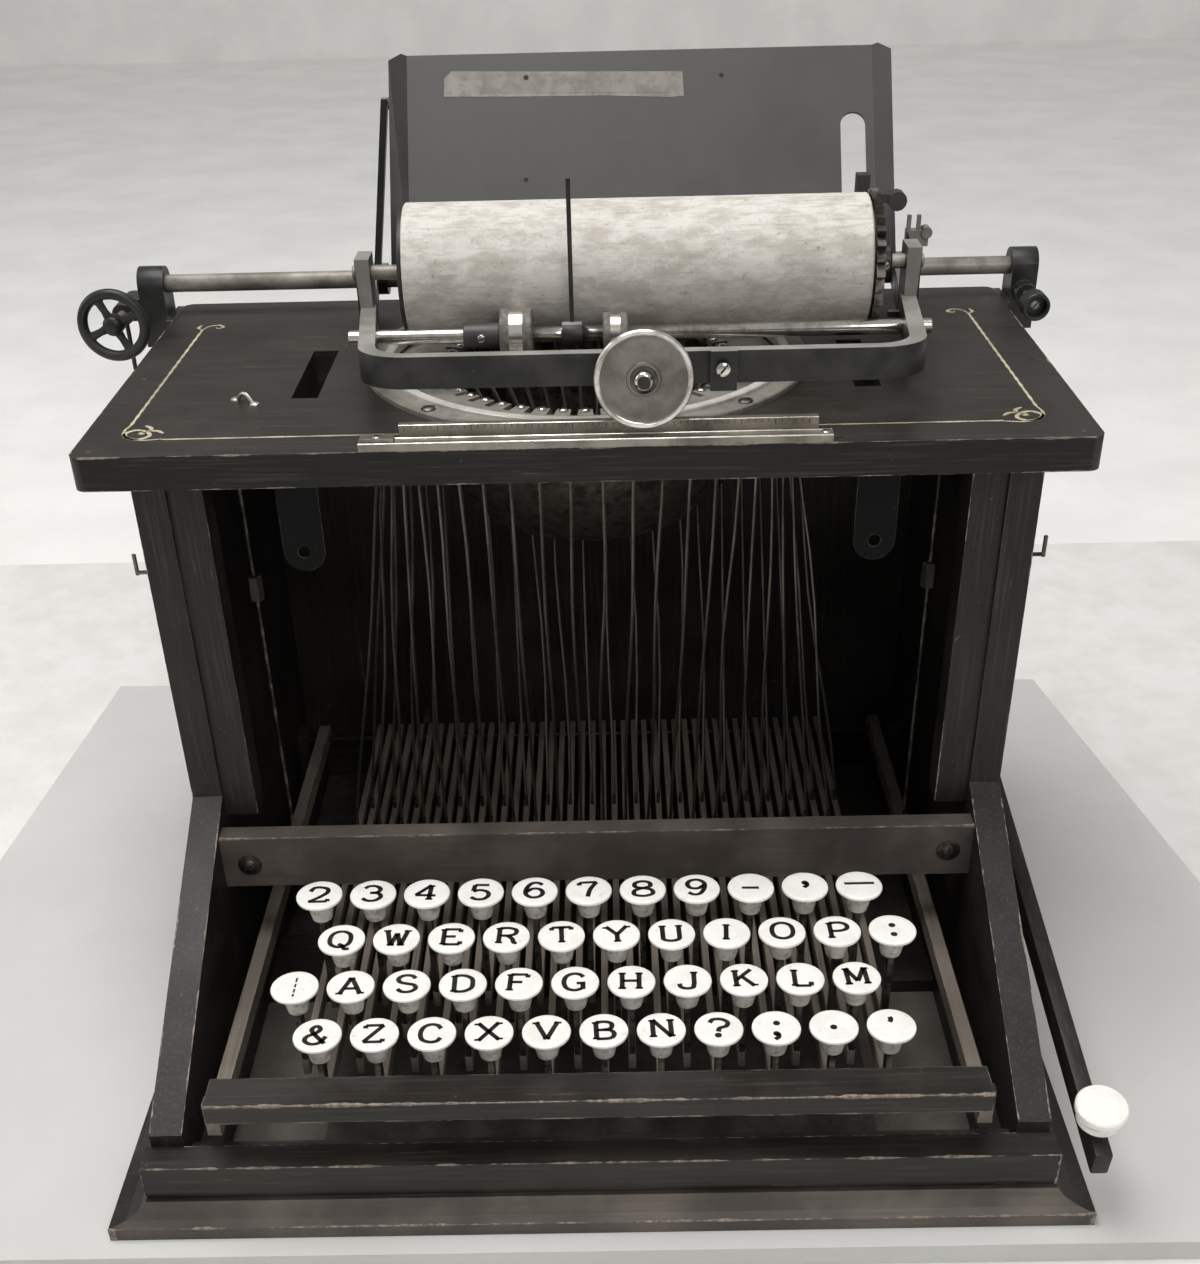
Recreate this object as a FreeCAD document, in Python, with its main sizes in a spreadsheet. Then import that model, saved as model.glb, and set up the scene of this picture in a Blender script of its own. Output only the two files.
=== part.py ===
"""Understroke keyboard typewriter in a wooden case, as a parametric FreeCAD document.

Millimetres. X to the right of the typist, Y to the back, Z up. The origin is the middle of the
underside of the base. Driving sizes are in the sheet "Sizes"; every sub-part is one object of the
document, and its Label is the name of its STEP file.
"""
import FreeCAD, Part
import Sketcher
import math
import os
import re
from FreeCAD import Placement, Rotation, Vector

# alias, millimetres (or degrees, or a count), what it is
SIZES = [
    # base
    ("base_front", -173, "front of the base skirt"),
    ("base_depth", 354, "base over its skirt, front to back"),
    ("skirt_height", 15, "moulded skirt under the base"),
    ("skirt_side", 17, "skirt beyond the case at each side"),
    ("skirt_front", 8, "skirt beyond the front rail and the back sill"),
    ("skirt_band", 6, "upright foot of the skirt moulding"),
    ("skirt_land", 2, "flat top of the skirt beyond the case"),
    ("sill", 22, "width of the base frame under the side boards"),
    ("rail_thick", 12, "front rail, front to back"),
    ("rail_height", 31, "top of the front rail"),
    ("rail_extra", 2, "front rail beyond the case at each side"),
    ("ledge_depth", 10, "inner ledge behind the front rail"),
    ("ledge_height", 23, "top of the inner ledge"),
    ("stretcher_front", -36, "front edge of the board across the base"),
    ("stretcher_deep", 42, "board across the base, front to back"),
    ("stretcher_high", 10, "board across the base, thickness"),
    # case
    ("case_width", 354, "case over the side boards"),
    ("case_front", -19, "front edge of the side boards' upper part"),
    ("case_back", 170, "back of the case"),
    ("side_board", 13, "side board thickness"),
    ("back_board", 6, "back board thickness"),
    ("cheek_top", 105, "height where the sloping cheek meets the upright edge"),
    ("cheek_low", 37, "height of the cheek behind the front rail"),
    ("cheek_step", 3, "height of the rounding between the cheek and the upright edge"),
    ("cheek_round", 5, "depth of that rounding"),
    ("sill_lap", 4, "back sill in front of the back board"),
    ("sill_drop", 4, "back sill below the key levers"),
    ("bearer_wide", 6, "bearer of the lever pivot rod, across"),
    ("bearer_deep", 12, "bearer, front to back"),
    ("bearer_over", 6, "bearer above the pivot rod"),
    ("post_wide", 14, "inner post, across"),
    ("post_deep", 14, "inner post, front to back"),
    ("post_set", 2, "inner post behind the side board's edge"),
    ("cross_low", 71.5, "lower edge of the cross rail over the keys"),
    ("cross_high", 97, "upper edge of the cross rail"),
    ("cross_thick", 9, "cross rail thickness"),
    ("cross_front", -36, "front face of the cross rail"),
    # top board
    ("top_width", 390, "top board, across"),
    ("top_depth", 202, "top board, front to back"),
    ("top_thick", 13.5, "top board thickness"),
    ("top_height", 269, "upper face of the top board"),
    ("top_front", -31, "front edge of the top board"),
    ("top_corner", 5, "rounding of the top board's corners"),
    ("slot_x", 115, "ribbon slot, middle from the centre line"),
    ("slot_wide", 11, "ribbon slot width"),
    ("slot_front", 31, "ribbon slot front end"),
    ("slot_long", 62, "ribbon slot length"),
    # type basket
    ("basket_y", 75, "middle of the type basket"),
    ("flange_r", 95, "basket flange, outer radius"),
    ("mouth_r", 85, "basket mouth radius"),
    ("flange_thick", 2.2, "basket flange thickness"),
    ("lip_thick", 2, "wall of the basket's mouth"),
    ("lip_rise", 4, "lip above the top board"),
    ("ring_r", 60, "inner radius of the ring that carries the type bars"),
    ("ring_low", 265.5, "underside of that ring"),
    ("ring_thick", 2, "thickness of that ring"),
    ("hole_r", 91, "hole in the top board under the flange"),
    ("bowl_low", 203, "lower edge of the bowl"),
    ("bowl_r", 40, "bowl radius at its lower edge"),
    ("bowl_top", 262, "where the bowl meets its mouth wall"),
    ("type_count", 44, "keys, levers, wires and type bars"),
    ("type_long", 79, "type bar length"),
    ("type_wide", 2, "type bar thickness across"),
    ("type_high", 3, "type bar height"),
    ("type_fall", 50, "type bar's slope below level at rest, degrees"),
    ("type_pivot_r", 79, "radius of the type bar pivots"),
    ("type_pivot_z", 260, "height of the type bar pivots"),
    ("wire_r", 0.5, "connecting wire radius"),
    ("wire_ring_r", 87.8, "radius of the circle of the wires' upper ends"),
    ("wire_top", 262, "height of the wires' upper ends"),
    # keyboard
    ("lever_pitch", 5.575, "spacing of the key levers"),
    ("lever_wide", 3, "key lever thickness"),
    ("lever_low", 36, "lower edge of the key levers"),
    ("lever_high", 8, "key lever height"),
    ("pivot_y", 140, "lever pivot, from the origin"),
    ("pivot_z", 40, "lever pivot height"),
    ("pivot_r", 1.5, "lever pivot rod radius"),
    ("lever_tail", 8, "lever behind its pivot"),
    ("running", 0.06, "clearance of a running fit, on radius"),
    ("row_back", -75, "middle of the rearmost row of keys"),
    ("row_pitch", 20.3, "key row spacing"),
    ("row_rise", 7.4, "key row rise"),
    ("key_top", 95.5, "top of the rearmost row of keys"),
    ("key_r", 9.6, "key disc radius"),
    ("key_thick", 3.5, "key disc thickness"),
    ("neck_r", 5.6, "key neck radius under the disc"),
    ("neck_foot_r", 4.2, "key neck radius at its foot"),
    ("neck_high", 8.5, "key neck height"),
    ("stem_wide", 2.4, "key stem, across"),
    ("stem_deep", 6, "key stem, front to back"),
    ("clip_high", 5, "wire clip on a lever"),
    ("clip_wide", 1.6, "wire clip, across"),
    ("clip_deep", 2.6, "wire clip, front to back"),
    ("clip_front", 48, "clips of the wires that go to the basket's front"),
    ("clip_back", 66, "clips of the wires that go to the basket's back"),
    ("seat", 0.3, "gap between a piece and the moving piece it serves"),
    # space bar
    ("space_inset", 27, "end of the space bar, inside the case's outer face"),
    ("space_front", -163, "front edge of the space bar"),
    ("space_deep", 15.5, "space bar, front to back"),
    ("space_thick", 9, "space bar thickness"),
    ("space_top", 62, "top of the space bar"),
    ("arm_inset", 26, "middle of a space bar arm, inside the case's outer face"),
    ("arm_wide", 6, "space bar arm thickness"),
    ("arm_front", -152.5, "front end of the space bar arms"),
    ("pull_y", 45, "pull rod on the space bar arm"),
    ("pull_r", 0.9, "pull rod radius"),
    ("pull_top", 248, "top of the pull rods"),
    ("pull_nut_r", 3.5, "adjusting nut radius"),
    ("pull_nut_z", 172, "adjusting nut height"),
    ("pull_nut_high", 12, "adjusting nut length"),
    # top fittings
    ("rule_left", -85, "left end of the scale rule"),
    ("rule_long", 178, "scale rule length"),
    ("rule_deep", 7, "scale rule's flat bar, front to back"),
    ("rule_thick", 3, "scale rule's flat bar thickness"),
    ("strip_left", -70, "left end of the upright strip"),
    ("strip_long", 158, "upright strip length"),
    ("strip_deep", 3.5, "upright strip thickness"),
    ("strip_high", 7.5, "upright strip height"),
    ("strap_x", 116.7, "hanging strap, middle from the centre line"),
    ("strap_wide", 17, "hanging strap width"),
    ("strap_thick", 2, "hanging strap thickness"),
    ("strap_low", 207, "lower end of the hanging straps"),
    ("strap_hole_r", 2.6, "hole in a hanging strap"),
    ("rod_y", 156, "carriage rod, from the origin"),
    ("rod_z", 283, "carriage rod height"),
    ("rod_r", 4, "carriage rod radius"),
    ("rod_over", 12, "carriage rod beyond the top board at each end"),
    ("bracket_gap", 3, "foot plate of a rod bracket"),
    ("bracket_wide", 12, "rod bracket, across"),
    ("bracket_r", 8, "rounded head of a rod bracket"),
    ("bracket_foot", 24, "foot plate, front to back"),
    ("spindle_r", 2, "ribbon spindle radius"),
    ("spindle_left_out", 22, "hand wheel spindle beyond the top board"),
    ("spindle_right_out", 9, "ribbon knob spindle beyond the top board"),
    ("spindle_z", 273, "ribbon spindle height"),
    ("lug_r", 5, "spindle lug radius"),
    ("lug_front", 141, "front of the spindle lugs"),
    ("crank_r", 1.1, "ribbon reversing wire radius"),
    ("crank_long", 30, "ribbon reversing wire below the lug"),
    ("hook_r", 0.9, "wire hook radius"),
    ("hook_z", 212, "side hook height"),
    ("hook_y", -10, "side hook, from the origin"),
    ("hook_out", 7, "side hook beyond the side board"),
    ("hook_tip", 9, "upright tip of a side hook"),
    # hand wheel and knob
    ("wheel_y", 125, "middle of the hand wheel and of the ribbon knob"),
    ("wheel_r", 16.5, "hand wheel outer radius"),
    ("wheel_rim", 4.8, "hand wheel rim, across its section"),
    ("wheel_hub_r", 4.6, "hand wheel hub radius"),
    ("wheel_hub_over", 1.5, "hand wheel hub beyond the rim at each face"),
    ("wheel_spoke", 4.4, "hand wheel spoke width"),
    ("wheel_spoke_deep", 2.4, "hand wheel spoke thickness"),
    ("wheel_turn", 25, "angle of the first spoke at rest, degrees"),
    ("wheel_spokes", 4, "hand wheel spokes"),
    ("knob_r", 6.2, "ribbon knob radius"),
    ("knob_deep", 9, "ribbon knob length"),
    ("knob_wall", 1.6, "ribbon knob wall"),
    # carriage
    ("carriage_x", 22.3, "middle of the carriage at rest"),
    ("platen_room", 10.5, "yoke's outer face beyond the platen's end, at its front"),
    ("yoke_splay", 20, "how far each arm spreads towards the rod"),
    ("yoke_front", -16, "front face of the yoke"),
    ("yoke_thick", 6, "yoke bar thickness"),
    ("yoke_high", 12, "yoke bar height"),
    ("yoke_tilt", 3.5, "yoke's rise towards the front, degrees"),
    ("yoke_corner", 20, "yoke corner radius"),
    ("bush_r", 7, "rod bush radius"),
    ("bush_long", 13, "rod bush length"),
    ("bush_out", 2, "rod bush beyond the yoke arm's outer face"),
    ("platen_y", 75, "platen axis, from the origin"),
    ("platen_z", 307, "platen axis height"),
    ("platen_r", 27, "platen radius"),
    ("platen_long", 192, "platen length"),
    ("platen_cap", 2, "platen end disc thickness"),
    ("axle_r", 3, "platen axle radius"),
    ("ear_deep", 14, "platen ear, front to back"),
    ("ear_rise", 7, "platen ear above the axle"),
    ("ratchet_r", 28.5, "ratchet wheel over its teeth"),
    ("ratchet_root_r", 25.5, "ratchet wheel root radius"),
    ("ratchet_wide", 3.5, "ratchet wheel thickness"),
    ("ratchet_teeth", 30, "ratchet wheel teeth"),
    ("ratchet_hub_r", 8, "ratchet wheel hub radius"),
    ("ratchet_hub_long", 6, "ratchet wheel hub length"),
    ("shaft_y", 41, "feed shaft, from the origin"),
    ("shaft_z", 290, "feed shaft height"),
    ("shaft_r", 3, "feed shaft radius"),
    ("shaft_out", 22, "feed shaft beyond the platen at each end"),
    ("roller_r", 10.4, "feed roller radius"),
    ("roller_long", 13, "feed roller length"),
    ("roller_left", -34, "left face of the first feed roller"),
    ("roller_small_r", 8, "second feed roller radius"),
    ("roller_small_left", 7.5, "left face of the second feed roller"),
    ("roller_small_long", 10, "second feed roller length"),
    ("collar_r", 5, "collar radius"),
    ("collar_long", 15, "collar length"),
    ("pointer_x", -5, "middle of the pointer"),
    ("pointer_sleeve", 8, "pointer sleeve length"),
    ("pointer_r", 4.6, "pointer sleeve radius"),
    ("pointer_high", 55, "pointer finger length"),
    ("pointer_wide", 1.8, "pointer finger width"),
    ("pointer_thick", 0.8, "pointer finger thickness"),
    ("pointer_lean", 4, "pointer finger's lean to the back, degrees"),
    ("table_over", 5.8, "paper table's flat beyond the platen's length at each end"),
    ("table_off", 3, "paper table's middle, right of the carriage's"),
    ("table_y", 104, "foot of the paper table"),
    ("table_z", 298, "height of the paper table's foot"),
    ("table_long", 97, "paper table length up its slope"),
    ("table_thick", 1.5, "paper table sheet thickness"),
    ("table_lean", 35, "paper table's lean to the back, degrees"),
    ("table_corner", 6, "cut across the paper table's upper corners"),
    ("flange_deep", 6, "side flange of the paper table, forward of its flat"),
    ("flange_out", 7.3, "side flange of the paper table, outward"),
    ("table_slot_in", 8.9, "middle of the paper table slot, inside the flat's right edge"),
    ("table_slot_wide", 11, "paper table slot width"),
    ("table_slot_high", 62, "paper table slot length up the slope"),
    ("stay_thick", 3, "stay between the rod and the paper table, across"),
    ("stay_deep", 5, "stay, front to back"),
    ("stay_set", 2.5, "stay's back in front of the rod's middle"),
    ("stay_in", 7, "foot of a stay inside the yoke arm's outer face"),
    ("stay_lean", 10.5, "inward lean of a stay over its height"),
    ("stay_high", 74, "stay height"),
    ("stay_over", 3, "stay above its pin"),
    ("stay_pin_long", 11, "pin's reach behind the paper table"),
    ("stay_pin_r", 1.6, "pin between a stay and the paper table"),
    # paper table's detent, and the feed bracket at the yoke's right end
    ("detent_y", 100, "front of the detent"),
    ("detent_z", 325, "height of the detent's boss"),
    ("detent_r", 4, "detent boss radius"),
    ("detent_deep", 6, "detent, front to back"),
    ("detent_arm", 3.6, "detent arm height"),
    ("detent_block", 5.5, "detent block, across"),
    ("detent_high", 14, "detent block height"),
    ("detent_rod_r", 1.6, "detent rod radius"),
    ("feed_y", 141, "front of the feed bracket"),
    ("feed_deep", 5.5, "feed bracket, front to back"),
    ("feed_wide", 10, "feed bracket, across"),
    ("feed_high", 7, "feed bracket height"),
    ("feed_plate", 3, "feed bracket's foot, thickness"),
    ("feed_base", 296, "lower edge of the feed bracket"),
    ("prong_wide", 1.8, "feed bracket's prong, across"),
    ("prong_high", 6.5, "feed bracket's prong, height"),
    ("prong_gap", 2.6, "gap between the prongs"),
    ("feed_disc_r", 2.5, "feed bracket's disc radius"),
    ("stop_long", 12, "stop bar on the right arm, across"),
    ("stop_deep", 3, "stop bar, front to back"),
    ("stop_high", 2.4, "stop bar height"),
    ("stop_z", 284, "stop bar, lower edge"),
    # guide wheel
    ("guide_r", 18.5, "guide wheel flange radius"),
    ("guide_tread_r", 16, "guide wheel tread radius"),
    ("guide_tread", 5.5, "guide wheel tread width"),
    ("guide_flange", 2.2, "guide wheel flange thickness"),
    ("guide_pin_r", 2.5, "guide wheel pin radius"),
    ("guide_hub_r", 6, "guide wheel hub radius"),
    ("guide_hub", 3, "guide wheel hub length"),
    ("plate_x", 25, "yoke block, from the carriage's middle"),
    ("plate_wide", 10, "yoke block width"),
    ("plate_high", 15, "yoke block height"),
    ("plate_thick", 2.5, "yoke block thickness"),
    # return lever
    ("hand_gap", 11, "return lever's inner face beyond the case"),
    ("hand_wide", 7, "return lever thickness"),
    ("hand_high", 12, "return lever height"),
    ("hand_long", 246, "return lever length from its pivot"),
    ("hand_slope", 8.7, "return lever's slope down to the front, degrees"),
    ("hand_y", 70, "return lever pivot, from the origin"),
    ("hand_z", 71, "return lever pivot height"),
    ("hand_pin_r", 3, "return lever pin radius"),
    ("hand_end", 8, "return lever behind its pivot"),
    ("hand_knob", 232, "knob, along the return lever from its pivot"),
    ("hand_knob_r", 10, "porcelain knob's upper disc radius"),
    ("hand_knob_low_r", 8.4, "porcelain knob's lower disc radius"),
    ("hand_knob_disc", 4, "porcelain knob's disc thickness"),
    ("hand_knob_neck_r", 4, "porcelain knob's neck radius"),
    ("hand_knob_neck", 3, "porcelain knob's neck length"),
    # flat sides that stand for round ones on small pieces, which keeps the part light
    ("key_sides", 12, "sides of a key disc"),
    ("neck_sides", 6, "sides of a key neck"),
    ("wire_sides", 6, "sides of a pull rod and of a side hook"),
    ("basket_sides", 40, "sides of the type basket"),
    ("rim_sides", 32, "sides of the wheels"),
    ("knob_sides", 24, "sides of knobs and feed rollers"),
]

doc = FreeCAD.newDocument("typewriter")
sheet = doc.addObject("Spreadsheet::Sheet", "Sizes")
for row, (alias, value, what) in enumerate(SIZES, 1):
    sheet.set("A%d" % row, what)
    sheet.set("B%d" % row, str(value))
    sheet.setAlias("B%d" % row, alias)
doc.recompute()

ALIASES = re.compile(r"\b(%s)\b" % "|".join(alias for alias, value, what in SIZES))
PARTS = {}


def size(alias):
    """A driving size, as a number."""
    return float(sheet.get(alias))


def bind(item, **formulas):
    """Tie properties of item to formulas in the sheet's aliases; a_b stands for property a.b."""
    for prop, formula in formulas.items():
        item.setExpression(prop.replace("_", "."), ALIASES.sub(r"Sizes.\1", str(formula)))
    return item


def place(item, x, y, z):
    """Put item's own origin at three formulas."""
    return bind(item, Placement_Base_x=x, Placement_Base_y=y, Placement_Base_z=z)


def tilt(item, formula):
    """Turn item about the X direction through its own origin by a formula in degrees."""
    item.Placement = Placement(item.Placement.Base, Rotation(Vector(1, 0, 0), 1))
    return bind(item, Placement_Rotation_Angle=formula)


def box(name, wide, deep, high, x, y, z):
    item = doc.addObject("Part::Box", name)
    return place(bind(item, Length=wide, Width=deep, Height=high), x, y, z)


AIM = {"X": Rotation(Vector(0, 1, 0), 90), "Y": Rotation(Vector(1, 0, 0), -90), "Z": Rotation()}


def cylinder(name, radius, long, x, y, z, axis="Z"):
    item = doc.addObject("Part::Cylinder", name)
    item.Placement = Placement(Vector(), AIM[axis])
    return place(bind(item, Radius=radius, Height=long), x, y, z)


def prism(name, sides, radius, long, x, y, z, axis="Z"):
    """A rod of regular section, which stands for a small round one."""
    item = doc.addObject("Part::Prism", name)
    item.Placement = Placement(Vector(), AIM[axis])
    return place(bind(item, Polygon=sides, Circumradius=radius, Height=long), x, y, z)


def faceted(profile, sides):
    """A solid of flat faces round the Z axis; profile is (radius, height) pairs."""
    rings = [[Vector(r * math.cos(turn), r * math.sin(turn), z) for r, z in profile]
             for turn in (2 * math.pi * i / sides for i in range(sides))]
    faces = []
    for one, other in zip(rings, rings[1:] + rings[:1]):
        for i in range(len(profile)):
            j = (i + 1) % len(profile)
            faces.append(Part.Face(Part.makePolygon([one[i], one[j], other[j], other[i], one[i]])))
    solid = Part.Solid(Part.Shell(faces))
    if solid.Volume < 0:
        solid.reverse()
    return solid.removeSplitter()


def cut(name, base, tool):
    item = doc.addObject("Part::Cut", name)
    item.Base = base
    item.Tool = tool
    return item


def fuse(name, *items):
    item = doc.addObject("Part::MultiFuse", name)
    item.Shapes = list(items)
    return item


def group(name, *items):
    """Separate solids that make one sub-part."""
    item = doc.addObject("Part::Compound", name)
    item.Links = list(items)
    return item


def fixed(name, shape):
    """A sub-part's solid whose form no primitive gives."""
    item = doc.addObject("Part::Feature", name)
    item.Shape = shape
    return item


def subpart(node, item):
    item.Label = node
    PARTS[node] = item
    return item


def padded(name, plane, corners, offset, long):
    """A PartDesign body: an outline whose corners are pairs of formulas, padded along the plane's
    normal by the formula long, from the formula offset."""
    body = doc.addObject("PartDesign::Body", name)
    sketch = body.newObject("Sketcher::SketchObject", name + "_outline")
    support = [o for o in body.Origin.OriginFeatures if o.Role == plane][0]
    sketch.AttachmentSupport = (support, [""])
    sketch.MapMode = "FlatFace"
    bind(sketch, AttachmentOffset_Base_z=offset)
    points = [(number(u), number(v)) for u, v in corners]
    count = len(points)
    for i, point in enumerate(points):
        after = points[(i + 1) % count]
        sketch.addGeometry(Part.LineSegment(Vector(*point, 0), Vector(*after, 0)), False)
    for i in range(count):
        sketch.addConstraint(Sketcher.Constraint("Coincident", i, 2, (i + 1) % count, 1))
    for i, (u, v) in enumerate(corners):
        for kind, formula, value in (("DistanceX", u, points[i][0]), ("DistanceY", v, points[i][1])):
            index = sketch.addConstraint(Sketcher.Constraint(kind, -1, 1, i, 1, value))
            sketch.renameConstraint(index, "%s%d" % (kind, i))
            sketch.setExpression("Constraints.%s%d" % (kind, i), ALIASES.sub(r"Sizes.\1", str(formula)))
    pad = body.newObject("PartDesign::Pad", name + "_pad")
    pad.Profile = sketch
    bind(pad, Length=long)
    body.Tip = pad
    doc.recompute()
    return body


def number(formula):
    """The value of a formula in the sheet's aliases."""
    return float(sheet.evalExpression(ALIASES.sub(r"Sizes.\1", str(formula))))


def fillet(name, item, radius, pick):
    """Round the edges of item that pick accepts by the alias radius."""
    body = item.TypeId == "PartDesign::Body"
    shape = item.Shape
    edges = [i for i, edge in enumerate(shape.Edges, 1) if pick(edge)]
    if body:
        base = item.Tip
        rounded = item.newObject("PartDesign::Fillet", name)
        rounded.Base = (base, ["Edge%d" % i for i in edges])
        bind(rounded, Radius=radius)
        item.Tip = rounded
        doc.recompute()
        return item
    rounded = doc.addObject("Part::Fillet", name)
    rounded.Base = item
    rounded.Edges = [(i, size(radius), size(radius)) for i in edges]
    return rounded


def along(edge, axis):
    """Whether a straight edge runs along axis."""
    a, b = edge.Vertexes[0].Point, edge.Vertexes[-1].Point
    return (b - a).Length > 0.01 and abs(abs((b - a).normalize().dot(axis)) - 1) < 1e-6


X, Y, Z = Vector(1, 0, 0), Vector(0, 1, 0), Vector(0, 0, 1)

# ---- base ---------------------------------------------------------------------------------
RAIL_FRONT = "(base_front + skirt_front)"


def skirt():
    """Mitred moulding: an upright foot, then a hollow slope up to the case, around an open middle."""
    low_x = size("case_width") / 2 + size("skirt_side")
    low_y = size("base_depth") / 2
    middle = size("base_front") + low_y
    steps = [(0, 0), (0, size("skirt_band")),
             (0.45, size("skirt_band") + 0.25 * (size("skirt_height") - size("skirt_band"))),
             (0.8, size("skirt_band") + 0.6 * (size("skirt_height") - size("skirt_band"))),
             (1, size("skirt_height"))]
    solid = None
    for (in0, z0), (in1, z1) in zip(steps, steps[1:]):
        rings = []
        for inward, z in ((in0, z0), (in1, z1)):
            x = low_x - inward * (size("skirt_side") - size("skirt_land"))
            y = low_y - inward * (size("skirt_front") - size("skirt_land"))
            corners = [Vector(-x, middle - y, z), Vector(x, middle - y, z),
                       Vector(x, middle + y, z), Vector(-x, middle + y, z)]
            rings.append(Part.makePolygon(corners + corners[:1]))
        layer = Part.makeLoft(rings, True, True)
        solid = layer if solid is None else solid.fuse(layer)
    inner_x = size("case_width") / 2 - size("sill")
    inner_front = size("base_front") + size("skirt_front") + size("rail_thick") + size("ledge_depth")
    inner_back = size("base_front") + size("base_depth") - size("skirt_front") - size("rail_thick")
    well = Part.makeBox(2 * inner_x, inner_back - inner_front, size("skirt_height") + 2,
                        Vector(-inner_x, inner_front, -1))
    return solid.removeSplitter().cut(well)


def mirrored_boxes(name, wide, deep, high, inner_x, y, z):
    """A box at each side, whose inner face is inner_x from the centre line."""
    return [box(name + "_left", wide, deep, high, "-(%s) - (%s)" % (inner_x, wide), y, z),
            box(name + "_right", wide, deep, high, inner_x, y, z)]


front_rail = box("front_rail", "case_width + 2 * rail_extra", "rail_thick", "rail_height - skirt_height",
                 "-case_width / 2 - rail_extra", RAIL_FRONT, "skirt_height")
ledge = box("ledge", "case_width - 2 * side_board", "ledge_depth", "ledge_height - skirt_height",
            "-case_width / 2 + side_board", RAIL_FRONT + " + rail_thick", "skirt_height")
cross_rail = box("cross_rail", "case_width - 2 * side_board", "cross_thick", "cross_high - cross_low",
                 "-case_width / 2 + side_board", "cross_front", "cross_low")
back_sill = box("back_sill", "case_width - 2 * side_board", "back_board + sill_lap",
                "lever_low - sill_drop - skirt_height", "-case_width / 2 + side_board",
                "case_back - back_board - sill_lap", "skirt_height")
stretcher = box("stretcher", "case_width - 2 * sill", "stretcher_deep", "stretcher_high", "-case_width / 2 + sill",
                "stretcher_front", "0")
bearers = mirrored_boxes("bearer", "bearer_wide", "bearer_deep", "pivot_z + bearer_over - skirt_height",
                         "case_width / 2 - side_board - bearer_wide", "pivot_y - bearer_deep / 2",
                         "skirt_height")
pivot_rod = cylinder("pivot_rod", "pivot_r", "case_width - 2 * (side_board + bearer_wide)",
                     "-case_width / 2 + side_board + bearer_wide", "pivot_y", "pivot_z", "X")
base_frame = group("base_group", fixed("skirt", skirt()), front_rail, ledge, cross_rail, back_sill,
                   stretcher, *bearers, pivot_rod)
subpart("base_frame", base_frame)

# ---- case ---------------------------------------------------------------------------------
SIDE = [(RAIL_FRONT + " + rail_thick", "skirt_height"), ("case_back", "skirt_height"),
        ("case_back", "top_height - top_thick"), ("case_front", "top_height - top_thick"),
        ("case_front", "cheek_top + cheek_step"), ("case_front - cheek_round", "cheek_top"),
        (RAIL_FRONT + " + rail_thick", "cheek_low")]
sides = [padded("side_left", "YZ_Plane", SIDE, "-case_width / 2", "side_board"),
         padded("side_right", "YZ_Plane", SIDE, "case_width / 2 - side_board", "side_board")]
posts = mirrored_boxes("post", "post_wide", "post_deep", "top_height - top_thick - cross_high",
                       "case_width / 2 - side_board - post_wide", "case_front + post_set", "cross_high")
back_board = box("back_panel", "case_width - 2 * side_board", "back_board",
                 "top_height - top_thick - lever_low + sill_drop", "-case_width / 2 + side_board",
                 "case_back - back_board", "lever_low - sill_drop")
hand_pin = cylinder("hand_pin", "hand_pin_r", "hand_gap + hand_wide + 2", "case_width / 2",
                    "hand_y", "hand_z", "X")
subpart("case_sides", group("case_group", *sides, *posts, back_board, hand_pin))

# ---- top board ----------------------------------------------------------------------------
TOP = [("-top_width / 2", "top_front"), ("top_width / 2", "top_front"),
       ("top_width / 2", "top_front + top_depth"), ("-top_width / 2", "top_front + top_depth")]
board = padded("board", "XY_Plane", TOP, "top_height - top_thick", "top_thick")
board = fillet("board_corners", board, "top_corner", lambda edge: along(edge, Z))
basket_hole = cylinder("basket_hole", "hole_r", "top_thick + 2", "0", "basket_y",
                       "top_height - top_thick - 1")
slots = mirrored_boxes("ribbon_slot", "slot_wide", "slot_long", "top_thick + 2", "slot_x - slot_wide / 2",
                       "slot_front", "top_height - top_thick - 1")
top_board = cut("top_board_cut", board, fuse("top_board_holes", basket_hole, *slots))
subpart("top_board", top_board)


# ---- type basket --------------------------------------------------------------------------
def turned(name, profile):
    """A solid turned about the upright axis of the basket; profile is (radius, height) pairs."""
    return place(fixed(name, faceted(profile, int(size("basket_sides")))), "0", "basket_y", "0")


def basket_profile():
    top, wall = size("top_height"), size("lip_thick")
    mouth, rim = size("mouth_r"), size("flange_r")
    return [(mouth, top), (rim, top), (rim, top + size("flange_thick")),
            (mouth + wall, top + size("flange_thick")), (mouth + wall, top + size("lip_rise")),
            (mouth, top + size("lip_rise"))]


def bowl_profile():
    mouth, wall = size("mouth_r"), size("lip_thick")
    low, foot = size("bowl_low"), size("bowl_r")
    under, over = size("ring_low"), size("ring_low") + size("ring_thick")
    return [(mouth - wall, size("bowl_top")), (foot - wall, low), (foot, low), (mouth, size("bowl_top")),
            (mouth, size("top_height") + size("lip_rise")), (mouth - wall, size("top_height") + size("lip_rise")),
            (mouth - wall, over), (size("ring_r"), over), (size("ring_r"), under), (mouth - wall, under)]


subpart("type_basket", group("basket_group", turned("basket_flange", basket_profile()),
                             turned("basket_bowl", bowl_profile())))


def lever_x(k):
    """Middle of lever k, counted from the left."""
    return (k - (size("type_count") - 1) / 2) * size("lever_pitch")


def clip_y(k):
    return size("clip_front") if k % 2 == 0 else size("clip_back")


def ring_angle(k):
    """Direction of type bar k from the middle of the basket: even levers serve the front half."""
    half = size("type_count") / 2
    turn = math.pi * (k // 2 + 0.5) / half
    return math.pi + turn if k % 2 == 0 else math.pi - turn


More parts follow.
